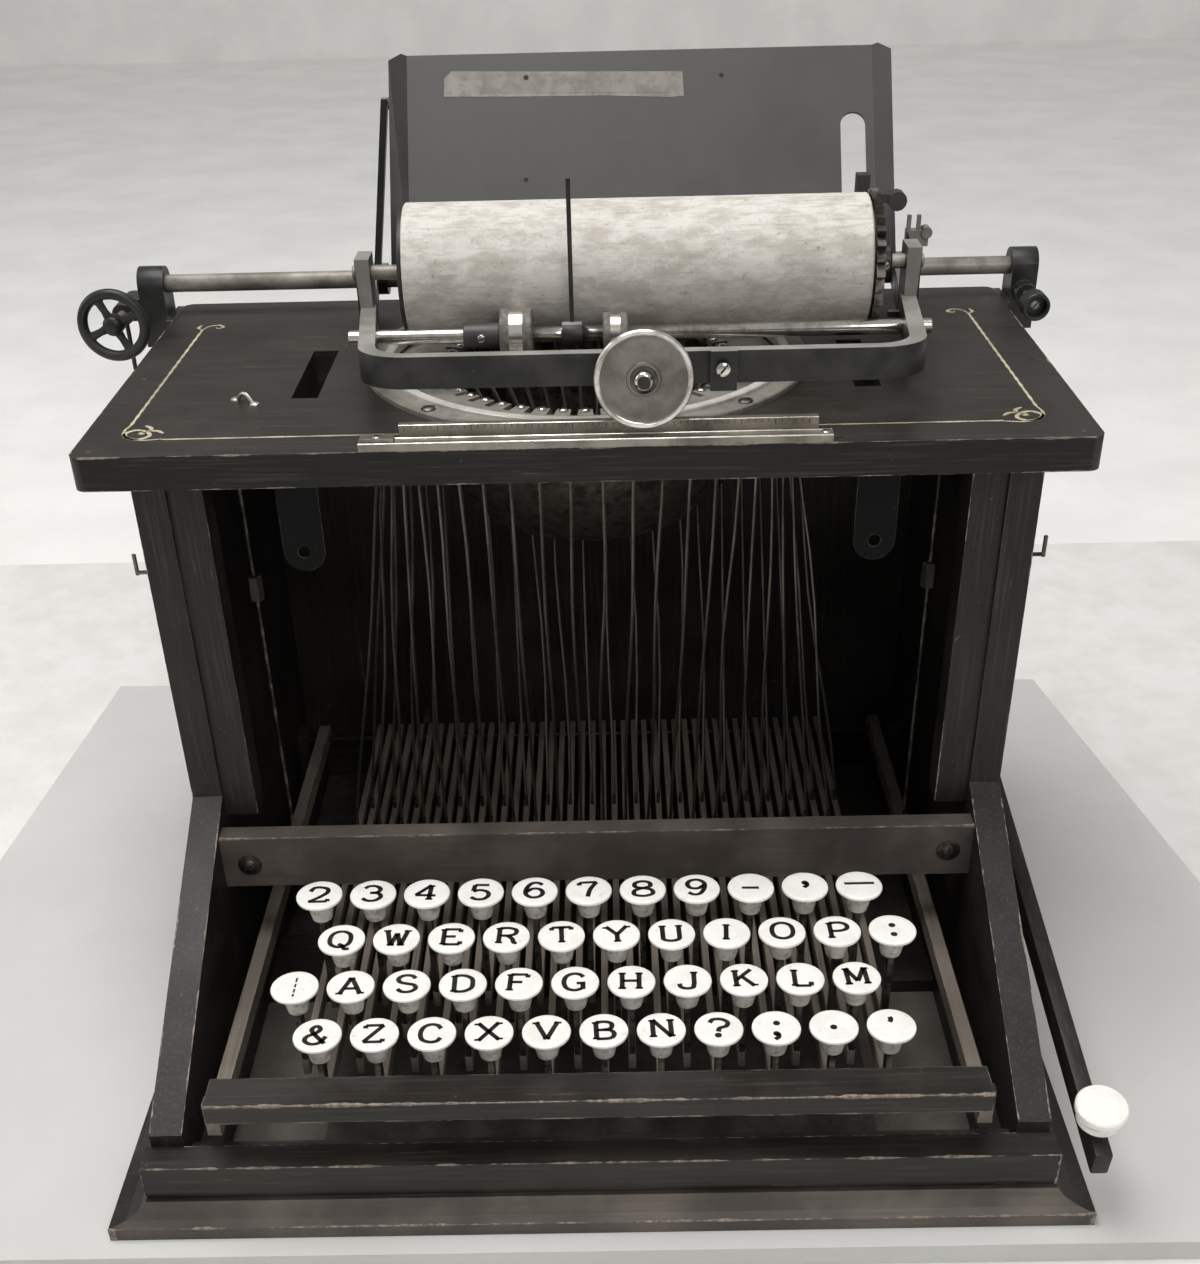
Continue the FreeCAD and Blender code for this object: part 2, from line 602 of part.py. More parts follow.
def type_bar(angle):
    """A type bar hung from the basket's mouth, with its type block at the free end."""
    bar = Part.makeBox(size("type_long"), size("type_wide"), size("type_high"),
                       Vector(-size("type_long"), -size("type_wide") / 2, -size("type_high") / 2))
    bar.rotate(Vector(), Y, -size("type_fall"))
    bar.translate(Vector(size("type_pivot_r"), 0, size("type_pivot_z")))
    bar.rotate(Vector(), Z, math.degrees(angle))
    return bar


def type_work():
    """All type bars, and the wires that join them to the key levers."""
    middle = Vector(0, size("basket_y"), 0)
    solids = []
    for k in range(int(size("type_count"))):
        angle = ring_angle(k)
        bar = type_bar(angle)
        bar.translate(middle)
        solids.append(bar)
        radius = size("wire_ring_r")
        upper = Vector(radius * math.cos(angle), radius * math.sin(angle), size("wire_top")) + middle
        clip = size("lever_low") + size("lever_high") + size("clip_high")
        lower = Vector(lever_x(k), clip_y(k), clip + size("seat"))
        half = size("wire_r")
        section = [lower + Vector(u * half, v * half, 0) for u, v in ((-1, -1), (1, -1), (1, 1), (-1, 1))]
        solids.append(Part.Face(Part.makePolygon(section + section[:1])).extrude(upper - lower))
    return Part.makeCompound(solids)


subpart("type_bars", fixed("type_work", type_work()))

# ---- fittings on the top board ------------------------------------------------------------
TOP_UNDER = "top_height - top_thick"
ROD_HALF = "(top_width / 2 + rod_over)"
SPINDLE_LEFT = "(top_width / 2 + spindle_left_out)"
SPINDLE_RIGHT = "(top_width / 2 + spindle_right_out)"
rule = box("rule_bar", "rule_long", "rule_deep", "rule_thick", "rule_left", "top_front", "top_height")
strip = box("rule_strip", "strip_long", "strip_deep", "strip_high", "strip_left", "top_front + rule_deep",
            "top_height")


def strap(name, side):
    middle = "%d * strap_x" % side
    plate = box(name + "_plate", "strap_wide", "strap_thick", TOP_UNDER + " - strap_low - strap_wide / 2",
                middle + " - strap_wide / 2", "-strap_thick / 2", "strap_low + strap_wide / 2")
    end = prism(name + "_end", "knob_sides", "strap_wide / 2", "strap_thick", middle, "-strap_thick / 2",
                   "strap_low + strap_wide / 2", "Y")
    hole = prism(name + "_hole", "knob_sides", "strap_hole_r", "strap_thick + 2", middle, "-strap_thick / 2 - 1",
                    "strap_low + strap_wide / 2", "Y")
    return cut(name, fuse(name + "_blank", plate, end), hole)


def bracket(name, side, spindle):
    """Rod bracket on the end edge of the top board, with the lug of a ribbon spindle."""
    outer = "top_width / 2 + bracket_gap"
    wide = "bracket_wide"
    left = outer if side > 0 else "-(%s) - %s" % (outer, wide)
    foot = "top_width / 2" if side > 0 else "-top_width / 2 - bracket_gap"
    parts = [box(name + "_block", wide, "2 * bracket_r", "rod_z - (%s)" % TOP_UNDER, left,
                 "rod_y - bracket_r", TOP_UNDER),
             cylinder(name + "_head", "bracket_r", wide, left, "rod_y", "rod_z", "X"),
             box(name + "_foot", "bracket_gap", "bracket_foot", "top_thick", foot,
                 "rod_y - bracket_foot / 2", TOP_UNDER),
             prism(name + "_lug", "knob_sides", "lug_r", "rod_y + bracket_r - lug_front", spindle, "lug_front",
                      "spindle_z", "Y")]
    if side < 0:
        parts.append(box(name + "_web", "spindle_left_out - bracket_gap", "2 * bracket_r",
                         "lug_r * 2", "-" + SPINDLE_LEFT, "rod_y - bracket_r", "spindle_z - lug_r"))
        parts.append(prism(name + "_wire", "wire_sides", "crank_r", "crank_long", spindle, "lug_front + 4",
                              "spindle_z - crank_long - 4"))
    bores = fuse(name + "_bores",
                 cylinder(name + "_rod_bore", "rod_r + running", wide + " + 2", left + " - 1", "rod_y",
                          "rod_z", "X"),
                 cylinder(name + "_spindle_bore", "spindle_r + running", "rod_y + bracket_r - lug_front + 2", spindle,
                          "lug_front - 1", "spindle_z", "Y"))
    return cut(name, fuse(name + "_blank", *parts), bores)


def hook(name, side):
    """Small wire hook screwed into the side board."""
    x = "case_width / 2" if side > 0 else "-case_width / 2 - hook_out"
    tip = "case_width / 2 + hook_out" if side > 0 else "-case_width / 2 - hook_out"
    return fuse(name, prism(name + "_shank", "wire_sides", "hook_r", "hook_out", x, "hook_y", "hook_z", "X"),
                prism(name + "_tip", "wire_sides", "hook_r", "hook_tip", tip, "hook_y", "hook_z - 1"))


subpart("top_fittings", group("fittings_group", rule, strip, strap("strap_left", -1), strap("strap_right", 1),
                              bracket("bracket_left", -1, "-" + SPINDLE_LEFT),
                              bracket("bracket_right", 1, SPINDLE_RIGHT),
                              hook("hook_left", -1), hook("hook_right", 1)))

subpart("carriage_rod", cylinder("rod", "rod_r", "2 * " + ROD_HALF, "-" + ROD_HALF, "rod_y", "rod_z", "X"))


# ---- hand wheel and ribbon knob -----------------------------------------------------------
def hand_wheel():
    """Spoked wheel about the Y axis, with its spindle to the back."""
    outer, rim, hub = size("wheel_r"), size("wheel_rim"), size("wheel_hub_r")
    middle, half = outer - rim / 2, rim / 2
    flat = half * math.tan(math.pi / 6)
    section = [(middle - flat, -half), (middle + flat, -half), (outer, 0), (middle + flat, half),
               (middle - flat, half), (outer - rim, 0)]
    ring = faceted(section, int(size("rim_sides")))
    ring.rotate(Vector(), X, 90)
    over, wide, deep = size("wheel_hub_over"), size("wheel_spoke"), size("wheel_spoke_deep")
    solids = [ring, Part.makeCylinder(hub, rim + 2 * over, Vector(0, -half - over, 0), Y)]
    count = int(size("wheel_spokes"))
    for i in range(count):
        root = [Vector(hub / 2, -deep / 2, -wide * 0.6), Vector(middle, -deep / 2, -wide / 2),
                Vector(middle, -deep / 2, wide / 2), Vector(hub / 2, -deep / 2, wide * 0.6)]
        spoke = Part.Face(Part.makePolygon(root + root[:1])).extrude(Vector(0, deep, 0))
        spoke.rotate(Vector(), Y, 360 / count * i + size("wheel_turn"))
        solids.append(spoke)
    end = size("rod_y") + size("bracket_r") + 2 - size("wheel_y")
    solids.append(Part.makeCylinder(size("spindle_r"), end, Vector(), Y))
    return solids[0].multiFuse(solids[1:]).removeSplitter()


wheel = place(fixed("wheel", hand_wheel()), "-" + SPINDLE_LEFT, "wheel_y", "spindle_z")
subpart("hand_wheel", wheel)

KNOB_FRONT = "wheel_y - knob_deep / 2"
knob_body = prism("knob_body", "knob_sides", "knob_r", "knob_deep", SPINDLE_RIGHT, KNOB_FRONT, "spindle_z", "Y")
knob_cup = prism("knob_cup", "knob_sides", "knob_r - knob_wall", "knob_deep / 2", SPINDLE_RIGHT,
                 KNOB_FRONT + " - 1", "spindle_z", "Y")
knob_stem = cylinder("knob_stem", "spindle_r", "rod_y + bracket_r + 2 - wheel_y", SPINDLE_RIGHT,
                     "wheel_y", "spindle_z", "Y")
subpart("ribbon_knob", fuse("knob_fuse", cut("knob_cut", knob_body, knob_cup), knob_stem))

# ---- keyboard -----------------------------------------------------------------------------
# lever k belongs to row ROW_OF[k % 4], counted from the back
ROW_OF = [2, 0, 3, 1]
LEVER_TOP = "(lever_low + lever_high)"


def pivot_hole(name, wide, x):
    """Square hole for the pivot rod through a lever of thickness wide whose middle is x."""
    reach = "(pivot_r + running)"
    return box(name, wide + " + 2", "2 * " + reach, "2 * " + reach, "%s - %s / 2 - 1" % (x, wide),
               "pivot_y - " + reach, "pivot_z - " + reach)


def key(k):
    """One key: porcelain disc and neck, stem, wooden lever with its pivot hole, and wire clip."""
    name = "key_%02d" % (k + 1)
    x = "(%g - (type_count - 1) / 2) * lever_pitch" % k
    row = ROW_OF[k % 4]
    y = "(row_back - %d * row_pitch)" % row
    top = "(key_top - %d * row_rise)" % row
    disc = prism(name + "_disc", "key_sides", "key_r", "key_thick", x, y, top + " - key_thick")
    neck = prism(name + "_neck", "neck_sides", "(neck_r + neck_foot_r) / 2", "neck_high", x, y,
                 top + " - key_thick - neck_high")
    stem = box(name + "_stem", "stem_wide", "stem_deep", "%s - key_thick - neck_high - %s" % (top, LEVER_TOP),
               x + " - stem_wide / 2", y + " - stem_deep / 2", LEVER_TOP)
    lever = box(name + "_bar", "lever_wide", "pivot_y + lever_tail - (%s) + stem_deep / 2" % y, "lever_high",
                x + " - lever_wide / 2", y + " - stem_deep / 2", "lever_low")
    bore = pivot_hole(name + "_hole", "lever_wide", x)
    clip = box(name + "_clip", "clip_wide", "clip_deep", "clip_high", x + " - clip_wide / 2",
               ("clip_front" if k % 2 == 0 else "clip_back") + " - clip_deep / 2", LEVER_TOP)
    return subpart(name, group(name + "_group", disc, neck, stem, cut(name + "_lever", lever, bore), clip))


for k in range(int(size("type_count"))):
    key(k)

# ---- space bar ----------------------------------------------------------------------------
space = [box("space_board", "case_width - 2 * space_inset", "space_deep", "space_thick",
             "space_inset - case_width / 2", "space_front",
             "space_top - space_thick")]
for side, name in ((-1, "left"), (1, "right")):
    middle = "%d * (case_width / 2 - arm_inset)" % side
    arm = box("arm_" + name, "arm_wide", "pivot_y + lever_tail - arm_front", "lever_high",
              middle + " - arm_wide / 2", "arm_front", "lever_low")
    space.append(cut("space_arm_" + name, arm, pivot_hole("arm_hole_" + name, "arm_wide", middle)))
    space.append(box("riser_" + name, "arm_wide", "space_front + space_deep - arm_front",
                     "space_top - space_thick - " + LEVER_TOP, middle + " - arm_wide / 2", "arm_front",
                     LEVER_TOP))
    pull = prism("pull_" + name, "wire_sides", "pull_r", "pull_top - " + LEVER_TOP, middle, "pull_y", LEVER_TOP)
    nut = prism("pull_nut_" + name, "wire_sides", "pull_nut_r", "pull_nut_high", middle, "pull_y", "pull_nut_z")
    space.append(fuse("pull_rod_" + name, pull, nut))
subpart("space_bar", group("space_group", *space))

# ---- carriage -----------------------------------------------------------------------------
# the yoke's own frame: the rod's axis is its origin, and it is tilted up towards the front
REACH = "(yoke_front - rod_y)"
HALF = "(platen_long / 2 + platen_room)"
YOKE = [("-%s - yoke_splay" % HALF, "0"), ("-" + HALF, REACH), (HALF, REACH),
        (HALF + " + yoke_splay", "0"), (HALF + " + yoke_splay - yoke_thick", "0"),
        (HALF + " - yoke_thick", REACH + " + yoke_thick"),
        ("yoke_thick - " + HALF, REACH + " + yoke_thick"), ("yoke_thick - yoke_splay - " + HALF, "0")]
yoke = padded("yoke", "XY_Plane", YOKE, "-yoke_high / 2", "yoke_high")
outer_reach = number(REACH) + size("yoke_thick") / 2


def outer_corner(edge):
    point = edge.Vertexes[0].Point
    return along(edge, Z) and point.y < outer_reach


def inner_corner(edge):
    point = edge.Vertexes[0].Point
    return along(edge, Z) and outer_reach < point.y < outer_reach + size("yoke_thick")


yoke = fillet("yoke_outer", yoke, "yoke_corner", outer_corner)
yoke = fillet("yoke_inner", yoke, "yoke_corner - yoke_thick", inner_corner)
place(tilt(yoke, "-yoke_tilt + 360"), "carriage_x", "rod_y", "rod_z")


def arm_x(y):
    """Formula of the yoke arm's outer face at formula y, from the carriage's middle."""
    return "(%s + yoke_splay * (%s - yoke_front) / (rod_y - yoke_front))" % (HALF, y)


# the stays lean inward behind the paper table, and a pin at each one holds the table's back
STAY_BACK = "(rod_y - stay_set)"
STAY_FOOT = "(rod_z + bush_r - 2)"
pieces = [yoke]
holes = []
for side, name in ((-1, "left"), (1, "right")):
    wide = "(%s + yoke_splay)" % HALF
    bush = "carriage_x + %s + bush_out - bush_long" % wide if side > 0 else \
        "carriage_x - %s - bush_out" % wide
    pieces.append(prism("bush_" + name, "knob_sides", "bush_r", "bush_long", bush, "rod_y", "rod_z", "X"))
    ear = "carriage_x + %s - yoke_thick" % arm_x("platen_y") if side > 0 else \
        "carriage_x - %s" % arm_x("platen_y")
    pieces.append(box("ear_" + name, "yoke_thick", "ear_deep", "platen_z + ear_rise - rod_z", ear,
                      "platen_y - ear_deep / 2", "rod_z"))
    foot = "carriage_x + %d * (%s - stay_in)" % (side, wide)
    head = "carriage_x + %d * (%s - stay_in - stay_lean)" % (side, wide)
    outline = [(foot + " - stay_thick / 2", STAY_FOOT), (foot + " + stay_thick / 2", STAY_FOOT),
               (head + " + stay_thick / 2", STAY_FOOT + " + stay_high"),
               (head + " - stay_thick / 2", STAY_FOOT + " + stay_high")]
    pieces.append(padded("stay_" + name, "XZ_Plane", outline, "-" + STAY_BACK, "stay_deep"))
ARM_RIGHT = "carriage_x + %s" % arm_x("feed_y")
pieces.append(box("feed_foot", "feed_plate", "feed_deep", "feed_base - rod_z",
                  ARM_RIGHT + " - 1", "feed_y", "rod_z"))
pieces.append(box("feed_block", "feed_wide", "feed_deep", "feed_high", ARM_RIGHT + " - 1", "feed_y",
                  "feed_base"))
for name, x in (("one", ARM_RIGHT + " - 1"), ("two", ARM_RIGHT + " - 1 + prong_wide + prong_gap")):
    pieces.append(box("prong_" + name, "prong_wide", "prong_wide", "prong_high", x, "feed_y + 1",
                      "feed_base + feed_high"))
pieces.append(prism("feed_disc", "key_sides", "feed_disc_r", "feed_deep + 1", ARM_RIGHT + " + feed_wide - 2",
                    "feed_y - 1", "feed_base + feed_high - 1", "Y"))
pieces.append(box("stop_bar", "stop_long", "stop_deep", "stop_high",
                  "carriage_x + %s + 1 - stop_long" % arm_x("platen_y"), "platen_y - stop_deep / 2", "stop_z"))
GUIDE_X = "carriage_x"
GUIDE_Z = "(top_height + strip_high + guide_tread_r + seat)"
GUIDE_BACK = "(top_front + rule_deep + strip_deep + 1)"
pieces.append(cylinder("guide_pin", "guide_pin_r", "yoke_front + yoke_thick / 2 - (%s) + guide_tread + "
                       "guide_flange + guide_hub" % GUIDE_BACK, GUIDE_X,
                       GUIDE_BACK + " - guide_tread - guide_flange - guide_hub", GUIDE_Z, "Y"))
holes.append(cylinder("rod_hole", "rod_r + running", "2 * " + ROD_HALF, "-" + ROD_HALF, "rod_y", "rod_z", "X"))
holes.append(cylinder("axle_hole", "axle_r + running", "2 * " + ROD_HALF, "-" + ROD_HALF, "platen_y", "platen_z", "X"))
holes.append(cylinder("shaft_hole", "shaft_r + running", "2 * " + ROD_HALF, "-" + ROD_HALF, "shaft_y", "shaft_z", "X"))
frame = cut("yoke_frame", fuse("yoke_blank", *pieces), fuse("yoke_holes", *holes))
sleeve = cut("pointer_tube", cylinder("pointer_sleeve_blank", "pointer_r", "pointer_sleeve",
                                      "pointer_x - pointer_sleeve / 2", "shaft_y", "shaft_z", "X"),
             cylinder("pointer_bore", "shaft_r + running", "pointer_sleeve + 2",
                      "pointer_x - pointer_sleeve / 2 - 1", "shaft_y", "shaft_z", "X"))
finger = box("pointer_finger", "pointer_wide", "pointer_thick", "pointer_high", "pointer_x - pointer_wide / 2",
             "shaft_y", "shaft_z + pointer_r - 0.6")
tilt(finger, "360 - pointer_lean")
block = box("yoke_block", "plate_wide", "plate_thick", "plate_high", "carriage_x + plate_x",
            "yoke_front - plate_thick - 0.2", GUIDE_Z + " - plate_high / 2")
subpart("carriage_yoke", group("yoke_group", frame, fuse("pointer", sleeve, finger), block))

# paper table: its own origin is the foot of the sheet, before it is leant back
FLAT = "(platen_long / 2 + table_over)"
TABLE = [("-%s - flange_out" % FLAT, "table_thick - flange_deep"), ("-" + FLAT, "table_thick"),
         (FLAT, "table_thick"), (FLAT + " + flange_out", "table_thick - flange_deep"),
         (FLAT + " + flange_out", "-flange_deep"), (FLAT, "0"), ("-" + FLAT, "0"),
         ("-%s - flange_out" % FLAT, "-flange_deep")]
SLOT_X = "%s - table_slot_in" % FLAT
blank = padded("table_blank", "XY_Plane", TABLE, "0", "table_long")
corners = []
for side, name in ((-1, "left"), (1, "right")):
    reach = "%d * (%s + flange_out" % (side, FLAT)
    outline = [(reach + " - table_corner)", "table_long + 1"), (reach + " + 1)", "table_long + 1"),
               (reach + " + 1)", "table_long - table_corner")]
    corners.append(padded("table_corner_" + name, "XZ_Plane", outline, "-2 * flange_deep", "4 * flange_deep"))
sheet_slot = box("table_slot", "table_slot_wide", "table_thick + 2", "table_slot_high + 1",
                 SLOT_X + " - table_slot_wide / 2", "-1", "-1")
slot_head = cylinder("table_slot_head", "table_slot_wide / 2", "table_thick + 2", SLOT_X, "-1",
                     "table_slot_high", "Y")
table = cut("table_plate", blank, fuse("table_cut", sheet_slot, slot_head, *corners))
place(tilt(table, "360 - table_lean"), "carriage_x + table_off", "table_y", "table_z")
PIN_Z = STAY_FOOT + " + stay_high - stay_over"
pins = []
for side, name in ((-1, "left"), (1, "right")):
    inner = "carriage_x + %d * (%s + yoke_splay - stay_in - stay_lean * (stay_high - stay_over) / stay_high" \
        " - stay_thick / 2)" % (side, HALF)
    start = inner + " - seat - stay_pin_long" if side > 0 else inner + " + seat"
    pins.append(cylinder("stay_pin_" + name, "stay_pin_r", "stay_pin_long", start,
                         "table_y + (%s - table_z) * tan(table_lean) + table_thick + stay_pin_r" % PIN_Z, PIN_Z, "X"))
BOSS_X = "carriage_x + table_off + %s + flange_out - 1" % FLAT
detent = [prism("detent_boss", "key_sides", "detent_r", "detent_deep", BOSS_X, "detent_y", "detent_z", "Y"),
          box("detent_bar", BOSS_X + " - carriage_x - platen_long / 2", "detent_deep - 2", "detent_arm",
              "carriage_x + platen_long / 2", "detent_y + 1", "detent_z - detent_arm / 2 + 1"),
          box("detent_stop", "detent_block", "detent_deep", "detent_high",
              "carriage_x + platen_long / 2 - detent_block / 2", "detent_y", "detent_z - 3"),
          cylinder("detent_rod", "detent_rod_r", "table_y + (detent_z - table_z) * tan(table_lean) - detent_y",
                   BOSS_X, "detent_y", "detent_z", "Y")]
subpart("paper_table", fuse("table_fuse", table, *pins, *detent))


# ---- platen -------------------------------------------------------------------------------
def ratchet():
    """Feed wheel with saw teeth, turned about X."""
    count = int(size("ratchet_teeth"))
    points = []
    for i in range(count):
        turn = 2 * math.pi * i / count
        step = 2 * math.pi / count * 0.75
        for radius, angle in ((size("ratchet_root_r"), turn), (size("ratchet_r"), turn + step)):
            points.append(Vector(0, radius * math.cos(angle), radius * math.sin(angle)))
    return Part.Face(Part.makePolygon(points + points[:1])).extrude(Vector(size("ratchet_wide"), 0, 0))


PLATEN_LEFT = "carriage_x - platen_long / 2 - 1.5"
PLATEN_RIGHT = "carriage_x + platen_long / 2 - 1.5"
EAR_IN = arm_x("platen_y")
axle = cylinder("axle", "axle_r", "2 * %s + 4" % EAR_IN, "carriage_x - %s - 2" % EAR_IN, "platen_y", "platen_z", "X")
roll = cylinder("platen_roll", "platen_r", "platen_long", PLATEN_LEFT, "platen_y", "platen_z", "X")
end_disc = cylinder("platen_end", "platen_r - 1.5", "platen_cap", PLATEN_LEFT + " - platen_cap", "platen_y",
                    "platen_z", "X")
feed_wheel = place(fixed("feed_wheel", ratchet()), PLATEN_RIGHT + " + 1", "platen_y", "platen_z")
hub = cylinder("ratchet_hub", "ratchet_hub_r", "ratchet_hub_long + ratchet_wide + 1", PLATEN_RIGHT, "platen_y",
               "platen_z", "X")
subpart("platen", fuse("platen_fuse", axle, roll, end_disc, feed_wheel, hub))

# ---- feed shaft ---------------------------------------------------------------------------
subpart("feed_shaft", fuse(
    "feed_fuse",
    cylinder("shaft", "shaft_r", "platen_long + 2 * shaft_out",
             "carriage_x - platen_long / 2 - shaft_out", "shaft_y", "shaft_z", "X"),
    prism("collar", "knob_sides", "collar_r", "collar_long", "roller_left - collar_long", "shaft_y", "shaft_z", "X"),
    prism("roller", "knob_sides", "roller_r", "roller_long", "roller_left", "shaft_y", "shaft_z", "X"),
    prism("roller_small", "knob_sides", "roller_small_r", "roller_small_long", "roller_small_left", "shaft_y", "shaft_z", "X")))

# ---- guide wheel --------------------------------------------------------------------------
tread = prism("guide_tread_ring", "rim_sides", "guide_tread_r", "guide_tread", GUIDE_X, GUIDE_BACK + " - guide_tread", GUIDE_Z, "Y")
disc = prism("guide_disc", "rim_sides", "guide_r", "guide_flange", GUIDE_X, GUIDE_BACK + " - guide_tread - guide_flange",
                GUIDE_Z, "Y")
boss = prism("guide_boss", "knob_sides", "guide_hub_r", "guide_hub", GUIDE_X,
            GUIDE_BACK + " - guide_tread - guide_flange - guide_hub", GUIDE_Z, "Y")
guide_bore = cylinder("guide_bore", "guide_pin_r + running", "40", GUIDE_X, GUIDE_BACK + " - 25", GUIDE_Z, "Y")
subpart("guide_wheel", cut("guide_cut", fuse("guide_blank", tread, disc, boss), guide_bore))

# ---- return lever -------------------------------------------------------------------------
# its own origin is its pivot; it slopes down towards the front
hand_bar = box("hand_bar", "hand_wide", "hand_long + hand_end", "hand_high", "0", "-hand_long", "-hand_high / 2")
hand_bore = cylinder("hand_bore", "hand_pin_r + running", "hand_wide + 2", "-1", "0", "0", "X")
knob_parts = []
level = "hand_high / 2"
for name, radius, long in (("neck_low", "hand_knob_neck_r", "hand_knob_neck"),
                           ("disc_low", "hand_knob_low_r", "hand_knob_disc"),
                           ("neck_high", "hand_knob_neck_r", "hand_knob_neck - 1"),
                           ("disc_high", "hand_knob_r", "hand_knob_disc")):
    knob_parts.append(prism("hand_" + name, "knob_sides", radius, long, "hand_wide / 2", "-hand_knob", level))
    level = "%s + %s" % (level, long)
hand = group("hand_group", cut("hand_lever", hand_bar, hand_bore), fuse("hand_knob", *knob_parts))
place(tilt(hand, "hand_slope"), "case_width / 2 + hand_gap", "hand_y", "hand_z")
subpart("return_lever", hand)

# ---- check and write ----------------------------------------------------------------------
doc.recompute()
for item in doc.Objects:
    if "Invalid" in item.State or "Error" in item.State:
        raise RuntimeError("%s failed: %s" % (item.Name, item.State))
os.makedirs("parts", exist_ok=True)
for node, item in PARTS.items():
    if item.Shape.isNull() or not item.Shape.isValid() or not item.Shape.Solids:
        raise RuntimeError("%s has no valid solid" % node)
for node, item in PARTS.items():
    item.Shape.exportStep("parts/%s.step" % node)
print(len(PARTS), "sub-parts")
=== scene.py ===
# %% [markdown]
# # An early cased typewriter
# The machine is a wooden case that holds forty-four porcelain keys, a round basket of type bars and
# a carriage on a rear rod. The solids come from the CAD frame. Each step below dresses one group of
# them: it says what the real piece is, what it is made of, and why it is built this way here.

# %% Load the frame and keep its box
import math
import random

import bmesh
import bpy
from mathutils import Matrix, Vector, noise as wander


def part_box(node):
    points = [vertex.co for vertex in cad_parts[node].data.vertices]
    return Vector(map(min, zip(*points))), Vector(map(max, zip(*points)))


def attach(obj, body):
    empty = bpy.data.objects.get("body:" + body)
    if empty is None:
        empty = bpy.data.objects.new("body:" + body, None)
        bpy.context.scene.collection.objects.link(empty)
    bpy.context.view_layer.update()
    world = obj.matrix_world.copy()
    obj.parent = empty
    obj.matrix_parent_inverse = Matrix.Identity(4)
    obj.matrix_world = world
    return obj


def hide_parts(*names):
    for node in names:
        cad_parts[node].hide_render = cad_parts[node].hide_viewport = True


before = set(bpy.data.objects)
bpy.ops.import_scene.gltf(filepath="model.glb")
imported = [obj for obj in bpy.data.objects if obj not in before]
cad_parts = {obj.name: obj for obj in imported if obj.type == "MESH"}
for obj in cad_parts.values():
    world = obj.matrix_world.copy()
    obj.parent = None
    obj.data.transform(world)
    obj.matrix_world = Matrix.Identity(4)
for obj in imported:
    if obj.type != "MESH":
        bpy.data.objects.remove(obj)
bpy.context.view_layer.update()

MM = 0.001

# %% [markdown]
# ## Camera
# The view is from above the keyboard, as one stands before the machine. The lens is long enough to
# keep the case's edges calm, and the frame is shifted down a little instead of tilting further.

# %% Camera
CAMERA_AT = Vector((9.3, -582.8, 478.6)) * MM
CAMERA_YAW = math.radians(-0.73)
CAMERA_PITCH = math.radians(-33.71)
CAMERA_ROLL = math.radians(-1.48)
FOCAL_PX = 1538.2
FRAME_LONG_PX = 1264
CENTRE_BELOW_PX = 168

camera_data = bpy.data.cameras.new("camera")
camera_data.sensor_width = 36
camera_data.lens = camera_data.sensor_width * FOCAL_PX / FRAME_LONG_PX
camera_data.shift_y = CENTRE_BELOW_PX / FRAME_LONG_PX
camera = bpy.data.objects.new("camera", camera_data)
bpy.context.collection.objects.link(camera)
bpy.context.scene.camera = camera

forward = Vector((math.sin(CAMERA_YAW) * math.cos(CAMERA_PITCH),
                  math.cos(CAMERA_YAW) * math.cos(CAMERA_PITCH), math.sin(CAMERA_PITCH)))
level_right = Vector((math.cos(CAMERA_YAW), -math.sin(CAMERA_YAW), 0))
level_up = level_right.cross(forward)
right = level_right * math.cos(CAMERA_ROLL) + level_up * math.sin(CAMERA_ROLL)
up = level_up * math.cos(CAMERA_ROLL) - level_right * math.sin(CAMERA_ROLL)
turn = Matrix((right, up, -forward)).transposed()
camera.matrix_world = Matrix.Translation(CAMERA_AT) @ turn.to_4x4()
print("lens", round(camera_data.lens, 2), "mm")

# %% [markdown]
# ## Colours, nodes and finishes
# A finish is a short chain: a pattern of a real size in millimetres, a few layers of colour laid where
# the pattern is high, then gloss and relief. It could be a painted image, but noise on the piece's own
# coordinates has no seams and stays sharp close up.

# %% Colours, nodes and shaders
def srgb(text):
    """A colour written as #rrggbb, in linear RGBA."""
    values = [int(text[i:i + 2], 16) / 255 for i in (1, 3, 5)]
    linear = [v / 12.92 if v <= 0.04045 else ((v + 0.055) / 1.055) ** 2.4 for v in values]
    return (*linear, 1)


def add(tree, kind, settings=None, links=None):
    """Add one node: its settings by name, and a value or a socket for each of its inputs."""
    node = tree.nodes.new(kind)
    for name, value in (settings or {}).items():
        setattr(node, name, value)
    for name, value in (links or {}).items():
        if isinstance(value, bpy.types.NodeSocket):
            tree.links.new(value, node.inputs[name])
        else:
            node.inputs[name].default_value = value
    return node


def start_material(name, **values):
    """A material with a Principled shader; values are the shader's sockets, _ for a space."""
    material = bpy.data.materials.new(name)
    material.use_nodes = True
    tree = material.node_tree
    tree.nodes.clear()
    shader = add(tree, "ShaderNodeBsdfPrincipled",
                 links={key.replace("_", " "): value for key, value in values.items()})
    add(tree, "ShaderNodeOutputMaterial", links={"Surface": shader.outputs["BSDF"]})
    return material, tree, shader


print("middle grey in linear light:", round(srgb("#808080")[0], 3))


# %% Patterns, layers and finish
def pattern(tree, size, detail=4, roughness=0.55, distortion=0, stretch=(1, 1, 1)):
    """Noise from 0 to 1, with features about size millimetres across before the stretch."""
    place = add(tree, "ShaderNodeTexCoord")
    scaled = add(tree, "ShaderNodeVectorMath", {"operation": "MULTIPLY"},
                 {0: place.outputs["Object"], 1: [v / MM for v in stretch]})
    grains = add(tree, "ShaderNodeTexNoise", {"noise_dimensions": "3D"},
                 {"Vector": scaled.outputs["Vector"], "Scale": 1 / size, "Detail": detail,
                  "Roughness": roughness, "Distortion": distortion})
    return grains.outputs["Fac"]


